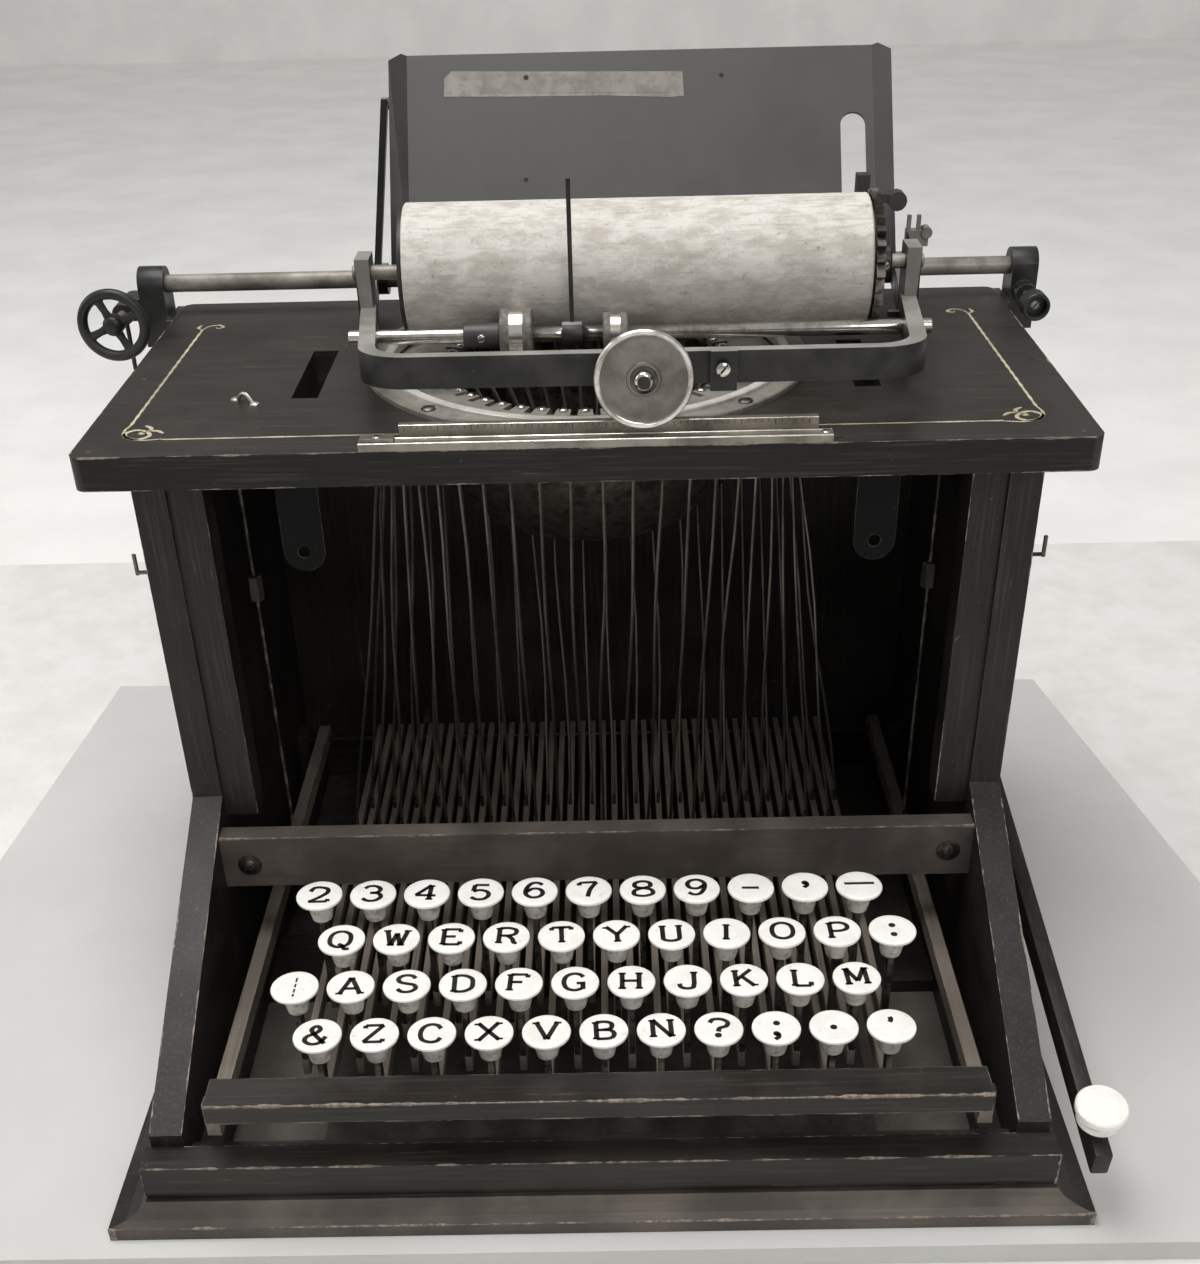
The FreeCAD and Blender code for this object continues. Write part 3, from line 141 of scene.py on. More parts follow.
def layer(tree, under, over, where, low, high, most=1):
    """Lay colour over on colour under: none of it where the pattern is low, most of it from high up."""
    amount = add(tree, "ShaderNodeMapRange", {"interpolation_type": "SMOOTHSTEP"},
                 {"Value": where, "From Min": low, "From Max": high, "To Min": 0, "To Max": most})
    mixed = add(tree, "ShaderNodeMix", {"data_type": "RGBA"},
                {"Factor": amount.outputs["Result"], 6: under, 7: over})
    return mixed.outputs[2]


def finish(tree, shader, coat, gloss=None, relief=None):
    """Join a coat, a gloss of (pattern, low, high, smooth, rough) and a relief of (pattern, mm, strength)."""
    tree.links.new(coat, shader.inputs["Base Color"])
    if gloss:
        where, low, high, smooth, rough = gloss
        sheen = add(tree, "ShaderNodeMapRange", {"interpolation_type": "SMOOTHSTEP"},
                    {"Value": where, "From Min": low, "From Max": high, "To Min": smooth, "To Max": rough})
        tree.links.new(sheen.outputs["Result"], shader.inputs["Roughness"])
    if relief:
        where, depth, strength = relief
        dents = add(tree, "ShaderNodeBump",
                    links={"Height": where, "Distance": depth * MM, "Strength": strength})
        tree.links.new(dents.outputs["Normal"], shader.inputs["Normal"])


print("a pattern of 2 mm has a scale of", 1 / 2, "on millimetres")

# %% [markdown]
# ## Studio
# The machine stands on a grey board. The board lies on a pale cloth, and a paler floor runs back from
# the cloth to a wall. They could be one curved sweep, but flat sheets keep the soft edges between them.
# The backdrop adds a little of its own colour for the camera alone, so that the ground is pale while
# the lamps stay at a plain level.

# %% Board, cloth and backdrop
BOARD_CORNERS = [(-0.345, -0.182), (0.345, -0.182), (0.272, 0.262), (-0.306, 0.276)]
BOARD_THICK = 0.010
CLOTH_HALF = 3.0
CLOTH_BACK = 0.485
BACKDROP_HIGH = 2.4
BACKDROP_LOW = -BOARD_THICK - 0.001
BACKDROP_GLOW = 0.22
WEAVE_MM = 1.2


def stage_piece(name, corners, faces, light, dark, size_mm, glow=0):
    """A sheet of the studio in cloth or card: clouds of size_mm in two close tones, and a weave."""
    mesh = bpy.data.meshes.new(name)
    mesh.from_pydata(corners, [], faces)
    sheet = bpy.data.objects.new(name, mesh)
    bpy.context.collection.objects.link(sheet)
    material, tree, shader = start_material(name, Roughness=0.95)
    tint = layer(tree, srgb(light), srgb(dark), pattern(tree, size_mm, 6, 0.6), 0.3, 0.7)
    finish(tree, shader, tint, relief=(pattern(tree, WEAVE_MM, 2), 0.15, 0.5))
    if glow:
        ray = add(tree, "ShaderNodeLightPath")
        seen = add(tree, "ShaderNodeMath", {"operation": "MULTIPLY", "use_clamp": True},
                   {0: ray.outputs["Is Camera Ray"], 1: glow})
        tree.links.new(tint, shader.inputs["Emission Color"])
        tree.links.new(seen.outputs[0], shader.inputs["Emission Strength"])
    mesh.materials.append(material)


board_corners = [(x, y, z) for z in (0, -BOARD_THICK) for x, y in BOARD_CORNERS]
stage_piece("grey_board", board_corners,
            [(0, 1, 2, 3), (0, 4, 5, 1), (1, 5, 6, 2), (2, 6, 7, 3), (3, 7, 4, 0)], "#cfcecb", "#c6c5c2", 160)
cloth_corners = [(x, y, -BOARD_THICK) for x, y in (
    (-CLOTH_HALF, -CLOTH_HALF), (CLOTH_HALF, -CLOTH_HALF), (CLOTH_HALF, CLOTH_BACK),
    (-CLOTH_HALF, CLOTH_BACK))]
stage_piece("table_cloth", cloth_corners, [(0, 1, 2, 3)], "#e6e5e2", "#dcdbd7", 25)
backdrop_rows = [(CLOTH_BACK, BACKDROP_LOW), (CLOTH_HALF, BACKDROP_LOW), (CLOTH_HALF, BACKDROP_HIGH)]
stage_piece("backdrop", [(x, y, z) for y, z in backdrop_rows for x in (-CLOTH_HALF, CLOTH_HALF)],
            [(0, 1, 3, 2), (2, 3, 5, 4)], "#e2e1de", "#d9d8d5", 110, glow=BACKDROP_GLOW)
print("board", BOARD_THICK / MM, "mm thick; wall", BACKDROP_HIGH, "m high")


# %% Lamps and world
def lamp(name, at, target, watts, size):
    """A round soft lamp of size metres, aimed at target."""
    data = bpy.data.lights.new(name, "AREA")
    data.energy = watts
    data.shape = "DISK"
    data.size = size
    item = bpy.data.objects.new(name, data)
    item.location = at
    item.rotation_mode = "QUATERNION"
    item.rotation_quaternion = (Vector(target) - Vector(at)).to_track_quat("-Z", "Y")
    bpy.context.collection.objects.link(item)


MIDDLE = (0, 0, 0.15)
lamp("lamp_top", (-0.25, -0.05, 1.9), MIDDLE, 27, 1.3)
lamp("lamp_front", (0.7, -1.6, 1.5), MIDDLE, 11, 1.2)
lamp("lamp_left", (-1.7, 0.0, 1.0), MIDDLE, 6, 1.2)

ROOM_COLOUR, ROOM_STRENGTH = "#f4f3f0", 0.36
world = bpy.data.worlds.new("studio")
world.use_nodes = True
world.node_tree.nodes["Background"].inputs["Color"].default_value = srgb(ROOM_COLOUR)
world.node_tree.nodes["Background"].inputs["Strength"].default_value = ROOM_STRENGTH
bpy.context.scene.world = world
bpy.context.scene.view_settings.view_transform = "Standard"
print("lamps:", len(bpy.data.lights))

# %% [markdown]
# ## Black japanned wood
# The case is softwood under black japan, a hard oily varnish. Age leaves it brown-black, polished on
# the flats, scratched, and rubbed through to grey-brown wood along the edges. The grain still shows
# as fine lines along each board. It could be an image laid on each board, but noise stretched along
# the grain serves boards of any direction with one recipe. Real grain lies under a millimetre apart;
# here it is drawn a little coarser, so that it shows.

# %% Black japanned wood
GRAIN_MM = 1.4
GRAIN_STRETCH = 0.03
CLOUD_MM, SCUFF_MM, DING_MM = 45, 2.2, 5
GRAIN_COLOUR, SCUFF_COLOUR, DING_COLOUR = "#4a423b", "#6a6057", "#7d7166"


def japanned_wood(name, along, dark="#1d1a18", light="#2d2927"):
    """Black japan on wood whose grain runs along axis 0, 1 or 2."""
    material, tree, shader = start_material(name, IOR=1.5, Specular_IOR_Level=0.3)
    stretch = [GRAIN_STRETCH if axis == along else 1 for axis in range(3)]
    fibres = pattern(tree, GRAIN_MM, 5, 0.6, stretch=stretch)
    clouds = pattern(tree, CLOUD_MM, 4)
    scuffs = pattern(tree, SCUFF_MM, 6, 0.75, 0.6, [s * 0.6 + 0.02 for s in stretch])
    dings = pattern(tree, DING_MM, 5, 0.8)
    coat = layer(tree, srgb(dark), srgb(light), clouds, 0.35, 0.7)
    coat = layer(tree, coat, srgb(GRAIN_COLOUR), fibres, 0.48, 0.78, 0.6)
    coat = layer(tree, coat, srgb(SCUFF_COLOUR), scuffs, 0.62, 0.72, 0.6)
    coat = layer(tree, coat, srgb(DING_COLOUR), dings, 0.66, 0.74, 0.7)
    finish(tree, shader, coat, (clouds, 0.3, 0.75, 0.34, 0.55), (fibres, 0.12, 0.6))
    return material


print("grain:", GRAIN_MM, "mm across,", round(GRAIN_MM / GRAIN_STRETCH), "mm long")

# %% Rubbed edges and the woods
CRUMB_MM = 1.1


def wear_and_shade_patches(name, coat, bare, patch, start=0.42, end=0.6, **values):
    """The band along an edge, where handling has rubbed a coat through in patches of patch millimetres; the
    same patches mottle the painted shade under the levers.
    """
    material, tree, shader = start_material(name, **values)
    worn = add(tree, "ShaderNodeMapRange", {"interpolation_type": "SMOOTHSTEP"},
               {"Value": pattern(tree, patch, 5, 0.7), "From Min": start, "From Max": end,
                "To Min": 0, "To Max": 1}).outputs["Result"]
    bits = add(tree, "ShaderNodeMapRange", {"interpolation_type": "SMOOTHSTEP"},
               {"Value": pattern(tree, CRUMB_MM, 3, 0.6), "From Min": 0.3, "From Max": 0.7,
                "To Min": 0.55, "To Max": 1}).outputs["Result"]
    both = add(tree, "ShaderNodeMath", {"operation": "MULTIPLY", "use_clamp": True}, {0: worn, 1: bits})
    shade = add(tree, "ShaderNodeMix", {"data_type": "RGBA"},
                {"Factor": both.outputs[0], 6: srgb(coat), 7: srgb(bare)})
    finish(tree, shader, shade.outputs[2], relief=(worn, 0.1, 0.4))
    return material


# Rubbed edge: pale wood breaks through in spots, so a dark board keeps a light outline.
rubbed_wood = wear_and_shade_patches("rubbed wood edge", "#2a2623", "#94877a", 11, Roughness=0.5)
# Three boards of one finish, told apart by the way their grain runs: brown-black with a soft gleam.
wood_across = japanned_wood("japanned wood, grain across", 0, "#211e1b", "#332f2c")
wood_deep = japanned_wood("japanned wood, grain front to back", 1)
wood_upright = japanned_wood("japanned wood, grain upright", 2)
# Where wrists and sleeves rest, the japan has gone thin and grey-brown.
wood_handled = japanned_wood("japanned wood, worn pale", 0, "#4a4440", "#69615a")
# The board's front face is painted darker as shade, and reads as nearly black.
wood_shaded = japanned_wood("japanned wood, black edge", 0, "#12100f", "#1c1917")
# The levers carry little or no japan: dull grey-brown wood, much paler than the case.
lever_wood = japanned_wood("bare lever wood", 1, "#6d655c", "#857b70")
print("woods:", sum("wood" in material.name for material in bpy.data.materials))

# %% [markdown]
# ## Iron and steel
# Brackets, yoke and paper table are iron under black japan, which chips to bare metal on corners.
# The basket ring, rule and guide wheel are bare steel that has dulled. The feed shaft is turned
# bright, so it is smoother, and its fine marks run round it. One recipe could serve all of them, but
# japan is a coat on metal and shines like varnish, while bare steel shines as metal, so there are two.
# The paper table is thin sheet under stove enamel, which is greyer and more even than japan.

# %% Japanned iron
RUST_MM, RUST_COLOUR = 4, "#5b5148"


def japanned_iron(name, dark, light, shine=0.4):
    """Black japan on cast or forged iron, clouded, with specks of rust."""
    material, tree, shader = start_material(name, IOR=1.5, Specular_IOR_Level=shine)
    clouds = pattern(tree, 18, 5)
    coat = layer(tree, srgb(dark), srgb(light), clouds, 0.35, 0.7)
    coat = layer(tree, coat, srgb(RUST_COLOUR), pattern(tree, RUST_MM, 5, 0.75), 0.62, 0.72, 0.5)
    finish(tree, shader, coat, (clouds, 0.3, 0.7, 0.3, 0.5), (pattern(tree, 1.5, 3), 0.04, 0.5))
    return material


# Black iron: an even satin black that shows form by its highlights.
iron = japanned_iron("black japanned iron", "#1a1a1a", "#333231")
# The same iron, paler: a flat mid grey, painted light on the faces lit from above.
pale_iron = japanned_iron("japanned iron, paler on top as painted light", "#7b7873", "#97938d")
# Iron in the well, painted near black as shade and without shine, so it sinks into the dark.
shaded_iron = japanned_iron("iron darkened as painted shade", "#060606", "#0d0c0c", 0.12)
print("irons:", ", ".join(kind.name for kind in (iron, pale_iron, shaded_iron)))

# %% Bare steel
LINE_MM = 0.8  # file and drawing marks are finer; this is as fine as shows


def bare_steel(name, light, dark, smooth, rough, marks=(1, 1, 1), size=6, lined=0.3, metal=1):
    """Bare metal: light where handled, dark where tarnished; a low metal is a grey oxide skin over it."""
    material, tree, shader = start_material(name, Metallic=metal)
    tarnish = pattern(tree, size, 6, 0.65)
    lines = pattern(tree, LINE_MM, 4, 0.6, stretch=marks)
    coat = layer(tree, srgb(light), srgb(dark), tarnish, 0.38, 0.66)
    coat = layer(tree, coat, srgb(dark), lines, 0.55, 0.75, lined)
    finish(tree, shader, coat, (tarnish, 0.3, 0.7, smooth, rough), (lines, 0.02, 0.4))
    return material


# Type bars: pale and satin, with faint clouds. The tarnished kind is for stems and screw heads.
steel = bare_steel("dulled steel", "#dcd8d0", "#aaa49a", 0.34, 0.5, size=16, lined=0.15)
dark_steel = bare_steel("tarnished steel", "#6f6a63", "#35322e", 0.4, 0.6)
# The ring round the basket has a grey skin, so it reads flat and even; its lip is painted pale as a
# highlight.
ring_steel = bare_steel("dull grey basket ring", "#97938b", "#7a756d", 0.42, 0.55, size=16, lined=0.1,
                        metal=0.25)
lip_highlight = bare_steel("painted highlight on the ring's lip", "#e6e2da", "#c9c4bb", 0.3, 0.45, size=16, lined=0.1,
                       metal=0.3)
# Turned bright: the tightest highlights on the machine, with lathe marks round the shaft.
bright_steel = bare_steel("turned steel", "#efece6", "#a9a39a", 0.14, 0.3, (0.05, 1, 1), 14)
# Drawn strip and rod: brown oil stains and lines that run along the length.
rule_steel = bare_steel("browned rule steel", "#a19b91", "#7a746b", 0.38, 0.55, (0.06, 1, 1), 18, 0.2)
rod_steel = bare_steel("oiled rod steel", "#a8a299", "#79736a", 0.4, 0.55, (0.04, 1, 1), 20, metal=0.4)
# The guide wheel's flat face: an even grey with a soft sheen.
wheel_steel = bare_steel("dull guide wheel steel", "#89857e", "#6f6b65", 0.36, 0.5, size=12, lined=0.15,
                         metal=0.8)
# Annealed wire: rough and dark, so that forty-four of them side by side stay quiet.
wire_steel = bare_steel("iron wire", "#7b766e", "#5a554e", 0.45, 0.6, size=40, lined=0)
# Knocked edges of steel, brighter than the faces beside them.
scuffed_steel = bare_steel("scuffed steel edge", "#efece6", "#a8a299", 0.2, 0.4)
print("steels:", sum("steel" in kind.name for kind in bpy.data.materials))

# %% Enamelled sheet
def painted_sheet():
    """Dark grey stove enamel on thin sheet: nearly flat, with a faint cloud and small scratches."""
    material, tree, shader = start_material("grey enamel on sheet", IOR=1.5)
    clouds = pattern(tree, 35, 5)
    nicks = pattern(tree, 2.4, 5, 0.8, stretch=(0.5, 1, 1))
    coat = layer(tree, srgb("#2f2d2c"), srgb("#3d3b39"), clouds, 0.3, 0.7)
    coat = layer(tree, coat, srgb("#6f6a64"), nicks, 0.7, 0.76, 0.6)
    finish(tree, shader, coat, (clouds, 0.3, 0.7, 0.42, 0.55), (pattern(tree, 1.2, 3), 0.03, 0.5))
    return material


# Enamel: a soft even dark grey, a shade paler than the japanned iron round it.
sheet_paint = painted_sheet()
# Chipped edge: japan off the corners of the iron in short bright dashes.
chipped_iron = wear_and_shade_patches("chipped iron edge", "#3a3836", "#a39e97", 7, 0.4, 0.65, Roughness=0.38)
print("sheet and chipped edge:", sheet_paint.name, "|", chipped_iron.name)

# %% [markdown]
# ## Boards, brackets and rod
# The case, the top fittings, the yoke and the paper table are boards and flat strips on the real
# machine, and the rear rod is a plain bar, so their solids have the right shape. They could be made
# again as meshes, but a bevel is enough: it eases each edge, and the eased band takes the worn finish.

# %% Dress the solids
def dress(node, materials, width=0, angle=32):
    """Give a CAD node its materials; with a width, ease its edges into a band of the second one."""
    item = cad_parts[node]
    item.data.materials.clear()
    for material in materials:
        item.data.materials.append(material)
    for face in item.data.polygons:
        face.material_index = 0
    if width:
        weld = item.modifiers.new("weld", "WELD")
        weld.merge_threshold = 0.001 * MM
        ease = item.modifiers.new("ease", "BEVEL")
        ease.width = width * MM
        ease.segments = 2
        ease.limit_method = "ANGLE"
        ease.angle_limit = math.radians(angle)
        ease.material = 1
        ease.harden_normals = True
    return item


def paint_where(item, index, test):
    """Give material index to the faces that pass test(lowest, highest corner in millimetres, normal)."""
    for face in item.data.polygons:
        corners = [item.data.vertices[i].co / MM for i in face.vertices]
        low, high = (Vector([pick(c[axis] for c in corners) for axis in range(3)]) for pick in (min, max))
        if test(low, high, face.normal):
            face.material_index = index


CROSS_RAIL_LOW, CROSS_RAIL_FRONT, CROSS_RAIL_BACK = 70, -40, -20
SKIRT_TOP, SKIRT_BACK = 16, -160
base = dress("base_frame", [wood_across, rubbed_wood, wood_handled], 1.1)
paint_where(base, 2, lambda low, high, n: low.z > CROSS_RAIL_LOW
            and CROSS_RAIL_FRONT < low.y < CROSS_RAIL_BACK)
paint_where(base, 2, lambda low, high, n: high.y < SKIRT_BACK and high.z < SKIRT_TOP and n.y < -0.2)
dress("case_sides", [wood_upright, rubbed_wood], 0.8)
board = dress("top_board", [wood_across, rubbed_wood, wood_shaded], 1.0)
# The front-facing faces of the top board take the dark copy as painted shade.
paint_where(board, 2, lambda low, high, n: n.y < -0.985)
print("worn pale faces of the base:", sum(face.material_index == 2 for face in base.data.polygons))

# %% Space bar, top fittings and carriage
PULL_ROD_FOOT, BAR_ARM_TOP = 64, 50
RULE_BACK, RULE_FOOT = -20, 268.9
HOOK_REACH, HOOK_TOP = 178, 250
STRAP_REACH, STRAP_TOP = 130, 256
YOKE_ARM_LOW, YOKE_ARM_IN = 290, 80
space_bar = dress("space_bar", [wood_across, rubbed_wood, wire_steel, lever_wood], 1.0)
paint_where(space_bar, 2, lambda low, high, n: high.z > PULL_ROD_FOOT)
paint_where(space_bar, 3, lambda low, high, n: high.z < BAR_ARM_TOP)
fittings = dress("top_fittings", [iron, chipped_iron, rule_steel, wire_steel, shaded_iron], 0.35)
paint_where(fittings, 2, lambda low, high, n: high.y < RULE_BACK and low.z > RULE_FOOT)
paint_where(fittings, 3, lambda low, high, n: high.y < 0 and abs(low.x) > HOOK_REACH
            and high.z < HOOK_TOP)
# The straps in the well take the near-black iron as painted shade.
paint_where(fittings, 4, lambda low, high, n: abs(low.x) < STRAP_REACH and high.z < STRAP_TOP)
dress("carriage_rod", [rod_steel, scuffed_steel], 0.3)
yoke = dress("carriage_yoke", [iron, chipped_iron, pale_iron], 0.5)
# Faces that look up take the paler iron as painted light from above; the front faces of the arms' ends take
# it too.
paint_where(yoke, 2, lambda low, high, n: n.z > 0.9)
paint_where(yoke, 2, lambda low, high, n: low.z > YOKE_ARM_LOW and abs(low.x) > YOKE_ARM_IN
            and n.y < -0.5)
dress("paper_table", [sheet_paint, chipped_iron], 0.25)
print("eased:", ", ".join(item.name for item in (space_bar, fittings, yoke)))

# %% [markdown]
# ## Keys
# A key is a white glazed porcelain button, moulded with a flat round top and a tapered neck. It is
# cemented on an iron stem, which stands on a long thin wooden lever. All forty-four share a form,
# so one function turns the button's outline and places it by the CAD node that it stands for.

# %% Porcelain and paint
PORCELAIN_SPECK_MM = 0.9


def glazed_porcelain(name, light, dark, dirt):
    """White glaze with clouds and specks; dirt is how much of it is grimed."""
    material, tree, shader = start_material(name, IOR=1.52, Coat_Weight=0.4, Coat_Roughness=0.06)
    clouds = pattern(tree, 7, 4)
    specks = pattern(tree, PORCELAIN_SPECK_MM, 2, 0.4)
    grime = pattern(tree, 4, 6, 0.75)
    glaze = layer(tree, srgb(light), srgb(dark), clouds, 0.4, 0.75)
    glaze = layer(tree, glaze, srgb("#8d8475"), specks, 0.74, 0.8, 0.5)
    glaze = layer(tree, glaze, srgb("#7d7468"), grime, 0.62 - dirt / 4, 0.8 - dirt / 4, dirt)
    finish(tree, shader, glaze, (clouds, 0.3, 0.7, 0.16, 0.3), (clouds, 0.05, 0.4))
    return material


# Button: near white under a clear coat, so a small sharp highlight runs along each rim.
porcelain = glazed_porcelain("glazed porcelain", "#f7f5f0", "#ebe8e0", 0.25)
# Neck: greyer as painted shade under the button, and mottled.
neck_shade_glaze = glazed_porcelain("grimed porcelain neck", "#ece8e0", "#cfc9be", 0.6)


def two_tone(name, rough, tones, spread, size_mm, detail, roughness=0.55, dent=0):
    """A plain dull material that drifts between two tones in patches of size_mm."""
    material, tree, shader = start_material(name, Roughness=rough)
    patches = pattern(tree, size_mm, detail, roughness)
    coat = layer(tree, *map(srgb, tones), patches, *spread)
    finish(tree, shader, coat, relief=(patches, dent, 0.5) if dent else None)
    return material


# Legend paint: black, a little faded in patches.
paint = two_tone("black stove paint", 0.45, ("#0d0c0c", "#2c2a28"), (0.45, 0.75), 2.5, 4)
print("glazes:", porcelain.name, "|", neck_shade_glaze.name)

# %% [markdown]
# ### Pieces, turnings and boxes
# Most small parts were made on a lathe or sawn from bar. So two shapes come again and again: an
# outline turned about an axis, and a box with eased edges. Each piece rides on the body it moves with.

# %% Pieces
SHARP_DEGREES = 38


def piece(name, build, materials, body, smooth=True):
    """A mesh piece: build(bm) fills it, in millimetres; it rides on a CAD body."""
    bm = bmesh.new()
    build(bm)
    bmesh.ops.remove_doubles(bm, verts=bm.verts, dist=0.0005)
    bmesh.ops.scale(bm, vec=(MM, MM, MM), verts=bm.verts)
    bmesh.ops.recalc_face_normals(bm, faces=bm.faces)
    mesh = bpy.data.meshes.new(name)
    bm.to_mesh(mesh)
    bm.free()
    for material in materials:
        mesh.materials.append(material)
    for face in mesh.polygons:
        face.use_smooth = smooth
    item = bpy.data.objects.new(name, mesh)
    bpy.context.collection.objects.link(item)
    if smooth:
        sharp = item.modifiers.new("sharp", "EDGE_SPLIT")
        sharp.split_angle = math.radians(SHARP_DEGREES)
    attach(item, body)
    return item


print("a sharp edge is over", SHARP_DEGREES, "degrees")


# %% Turnings and boxes
def turned(bm, outline, centre, axis="Z", segments=32, index=0):
    """Turn an outline of (radius, height) pairs about an axis through centre."""
    frame_of = {"Z": (Vector((1, 0, 0)), Vector((0, 1, 0)), Vector((0, 0, 1))),
                "Y": (Vector((1, 0, 0)), Vector((0, 0, 1)), Vector((0, 1, 0))),
                "X": (Vector((0, 1, 0)), Vector((0, 0, 1)), Vector((1, 0, 0)))}[axis]
    side, up_way, along = frame_of
    rings = []
    for radius, height in outline:
        if radius == 0:
            rings.append([bm.verts.new(Vector(centre) + along * height)])
            continue
        ring = []
        for i in range(segments):
            angle = 2 * math.pi * i / segments
            ring.append(bm.verts.new(Vector(centre) + along * height
                                     + (side * math.cos(angle) + up_way * math.sin(angle)) * radius))
        rings.append(ring)
    for low, high in zip(rings, rings[1:]):
        for i in range(segments):
            j = (i + 1) % segments
            corners = [low[i % len(low)], low[j % len(low)], high[j % len(high)], high[i % len(high)]]
            corners = list(dict.fromkeys(corners))
            if len(corners) > 2:
                bm.faces.new(corners).material_index = index


def slab(bm, low, high, ease=0.3, index=0):
    """A box between two corners with eased edges."""
    low, high = Vector(low), Vector(high)
    made = bmesh.ops.create_cube(bm, size=1)
    verts = made["verts"]
    for vert in verts:
        vert.co = Vector([(a + b) / 2 + v * (b - a) for v, a, b in zip(vert.co, low, high)])
    faces = list({face for vert in verts for face in vert.link_faces})
    if ease:
        edges = list({edge for face in faces for edge in face.edges})
        made = bmesh.ops.bevel(bm, geom=edges, offset=ease, segments=2, affect="EDGES", profile=0.6)
        faces = list({face for vert in made["verts"] for face in vert.link_faces} | set(
            face for face in faces if face.is_valid))
    for face in faces:
        face.material_index = index


trial = bmesh.new()
slab(trial, (0, 0, 0), (1, 1, 1))
print("an eased box has", len(trial.faces), "faces")
trial.free()

# %% Key tops, stems and levers
KEY_R = 9.6
KEY_THICK = 3.5
NECK_R, NECK_FOOT_R, NECK_HIGH = 5.6, 4.2, 8.5
RIM_LOW = 1.5
BUTTON_TOP = [(0, 0.0), (KEY_R - 2.2, 0), (KEY_R - 0.9, -0.08), (KEY_R - 0.2, -0.35), (KEY_R, -0.8),
              (KEY_R - 0.15, -RIM_LOW), (KEY_R - 0.9, -RIM_LOW - 0.35)]
BUTTON_NECK = [(KEY_R - 0.9, -RIM_LOW - 0.35), (NECK_R + 1.6, -KEY_THICK + 0.5),
               (NECK_R + 0.2, -KEY_THICK - 0.2), (NECK_R - 0.2, -KEY_THICK - 1),
               ((NECK_R + NECK_FOOT_R) / 2, -KEY_THICK - NECK_HIGH * 0.55),
               (NECK_FOOT_R, -KEY_THICK - NECK_HIGH + 0.3), (NECK_FOOT_R - 0.5, -KEY_THICK - NECK_HIGH),
               (0, -KEY_THICK - NECK_HIGH)]
LEVER_LOW, LEVER_TOP, LEVER_HALF = 36, 44, 1.5
STEM_HALF_WIDE, STEM_HALF_DEEP = 1.2, 3
CLIP_HALF_WIDE, CLIP_HALF_DEEP, CLIP_HIGH = 0.8, 1.3, 5
CLIP_Y = (48, 66)


def in_mm(corner):
    """A corner of a box in millimetres."""
    return Vector(corner) / MM


def key_piece(k):
    """The key of lever k, counted from the left, in place of its CAD node."""
    node = "key_%02d" % (k + 1)
    low, high = map(in_mm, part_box(node))
    x = (low.x + high.x) / 2
    y = low.y + KEY_R
    top = high.z

    def build(bm):
        turned(bm, BUTTON_TOP, (x, y, top), segments=40)
        turned(bm, BUTTON_NECK, (x, y, top), segments=40, index=3)
        slab(bm, (x - STEM_HALF_WIDE, y - STEM_HALF_DEEP, LEVER_TOP),
             (x + STEM_HALF_WIDE, y + STEM_HALF_DEEP, top - KEY_THICK - NECK_HIGH + 0.2), 0.3, 2)
        slab(bm, (x - LEVER_HALF, y - STEM_HALF_DEEP, LEVER_LOW), (x + LEVER_HALF, high.y, LEVER_TOP),
             0.35, 1)
        clip = CLIP_Y[k % 2]
        slab(bm, (x - CLIP_HALF_WIDE, clip - CLIP_HALF_DEEP, LEVER_TOP - 0.5),
             (x + CLIP_HALF_WIDE, clip + CLIP_HALF_DEEP, LEVER_TOP + CLIP_HIGH), 0.4, 2)

    item = piece("%s_dressed" % node, build, [porcelain, lever_wood, dark_steel, neck_shade_glaze], node)
    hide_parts(node)
    return Vector((x, y, top))


key_tops = [key_piece(k) for k in range(44)]
print("keys:", len(key_tops))

# %% [markdown]
# ### Legends
# The characters are painted black on the glaze, in upright letters with thick stems, thin bars and
# small serifs. A font from a file would need the file, so each letter is a few strokes on a unit
# square, smoothed where the pen went round, and laid as flat ribbons a hair above the glaze.

# %% Strokes and ribbons
def smooth_path(points, steps=6):
    """Points on a Catmull-Rom spline through points; it closes where the last is the first."""
    if len(points) < 3:
        return points
    closed = points[0] == points[-1]
    before = [points[-2] if closed else 2 * points[0] - points[1]]
    after = [points[1] if closed else 2 * points[-1] - points[-2]]
    row = before + points + after
    path = []
    for a, b, c, d in zip(row, row[1:], row[2:], row[3:]):
        for i in range(steps):
            t = i / steps
            path.append((2 * b + (c - a) * t + (2 * a - 5 * b + 4 * c - d) * t * t
                         + (3 * b - a - 3 * c + d) * t ** 3) / 2)
    return path + [points[-1]]


def ribbon(bm, path, width_of, place, index=0):
    """A flat ribbon along a path of 2-D points; width_of(direction, i) is its width there."""
    rows = []
    for i, point in enumerate(path):
        way = (path[min(i + 1, len(path) - 1)] - path[max(i - 1, 0)]).normalized()
        side = Vector((-way.y, way.x)) * width_of(way, i) / 2
        rows.append([bm.verts.new(place(point + side)), bm.verts.new(place(point - side))])
    for a, b in zip(rows, rows[1:]):
        bm.faces.new((a[0], a[1], b[1], b[0])).material_index = index


print("a corner of three points becomes", len(smooth_path([Vector(p) for p in ((0, 0), (1, 0), (1, 1))])))

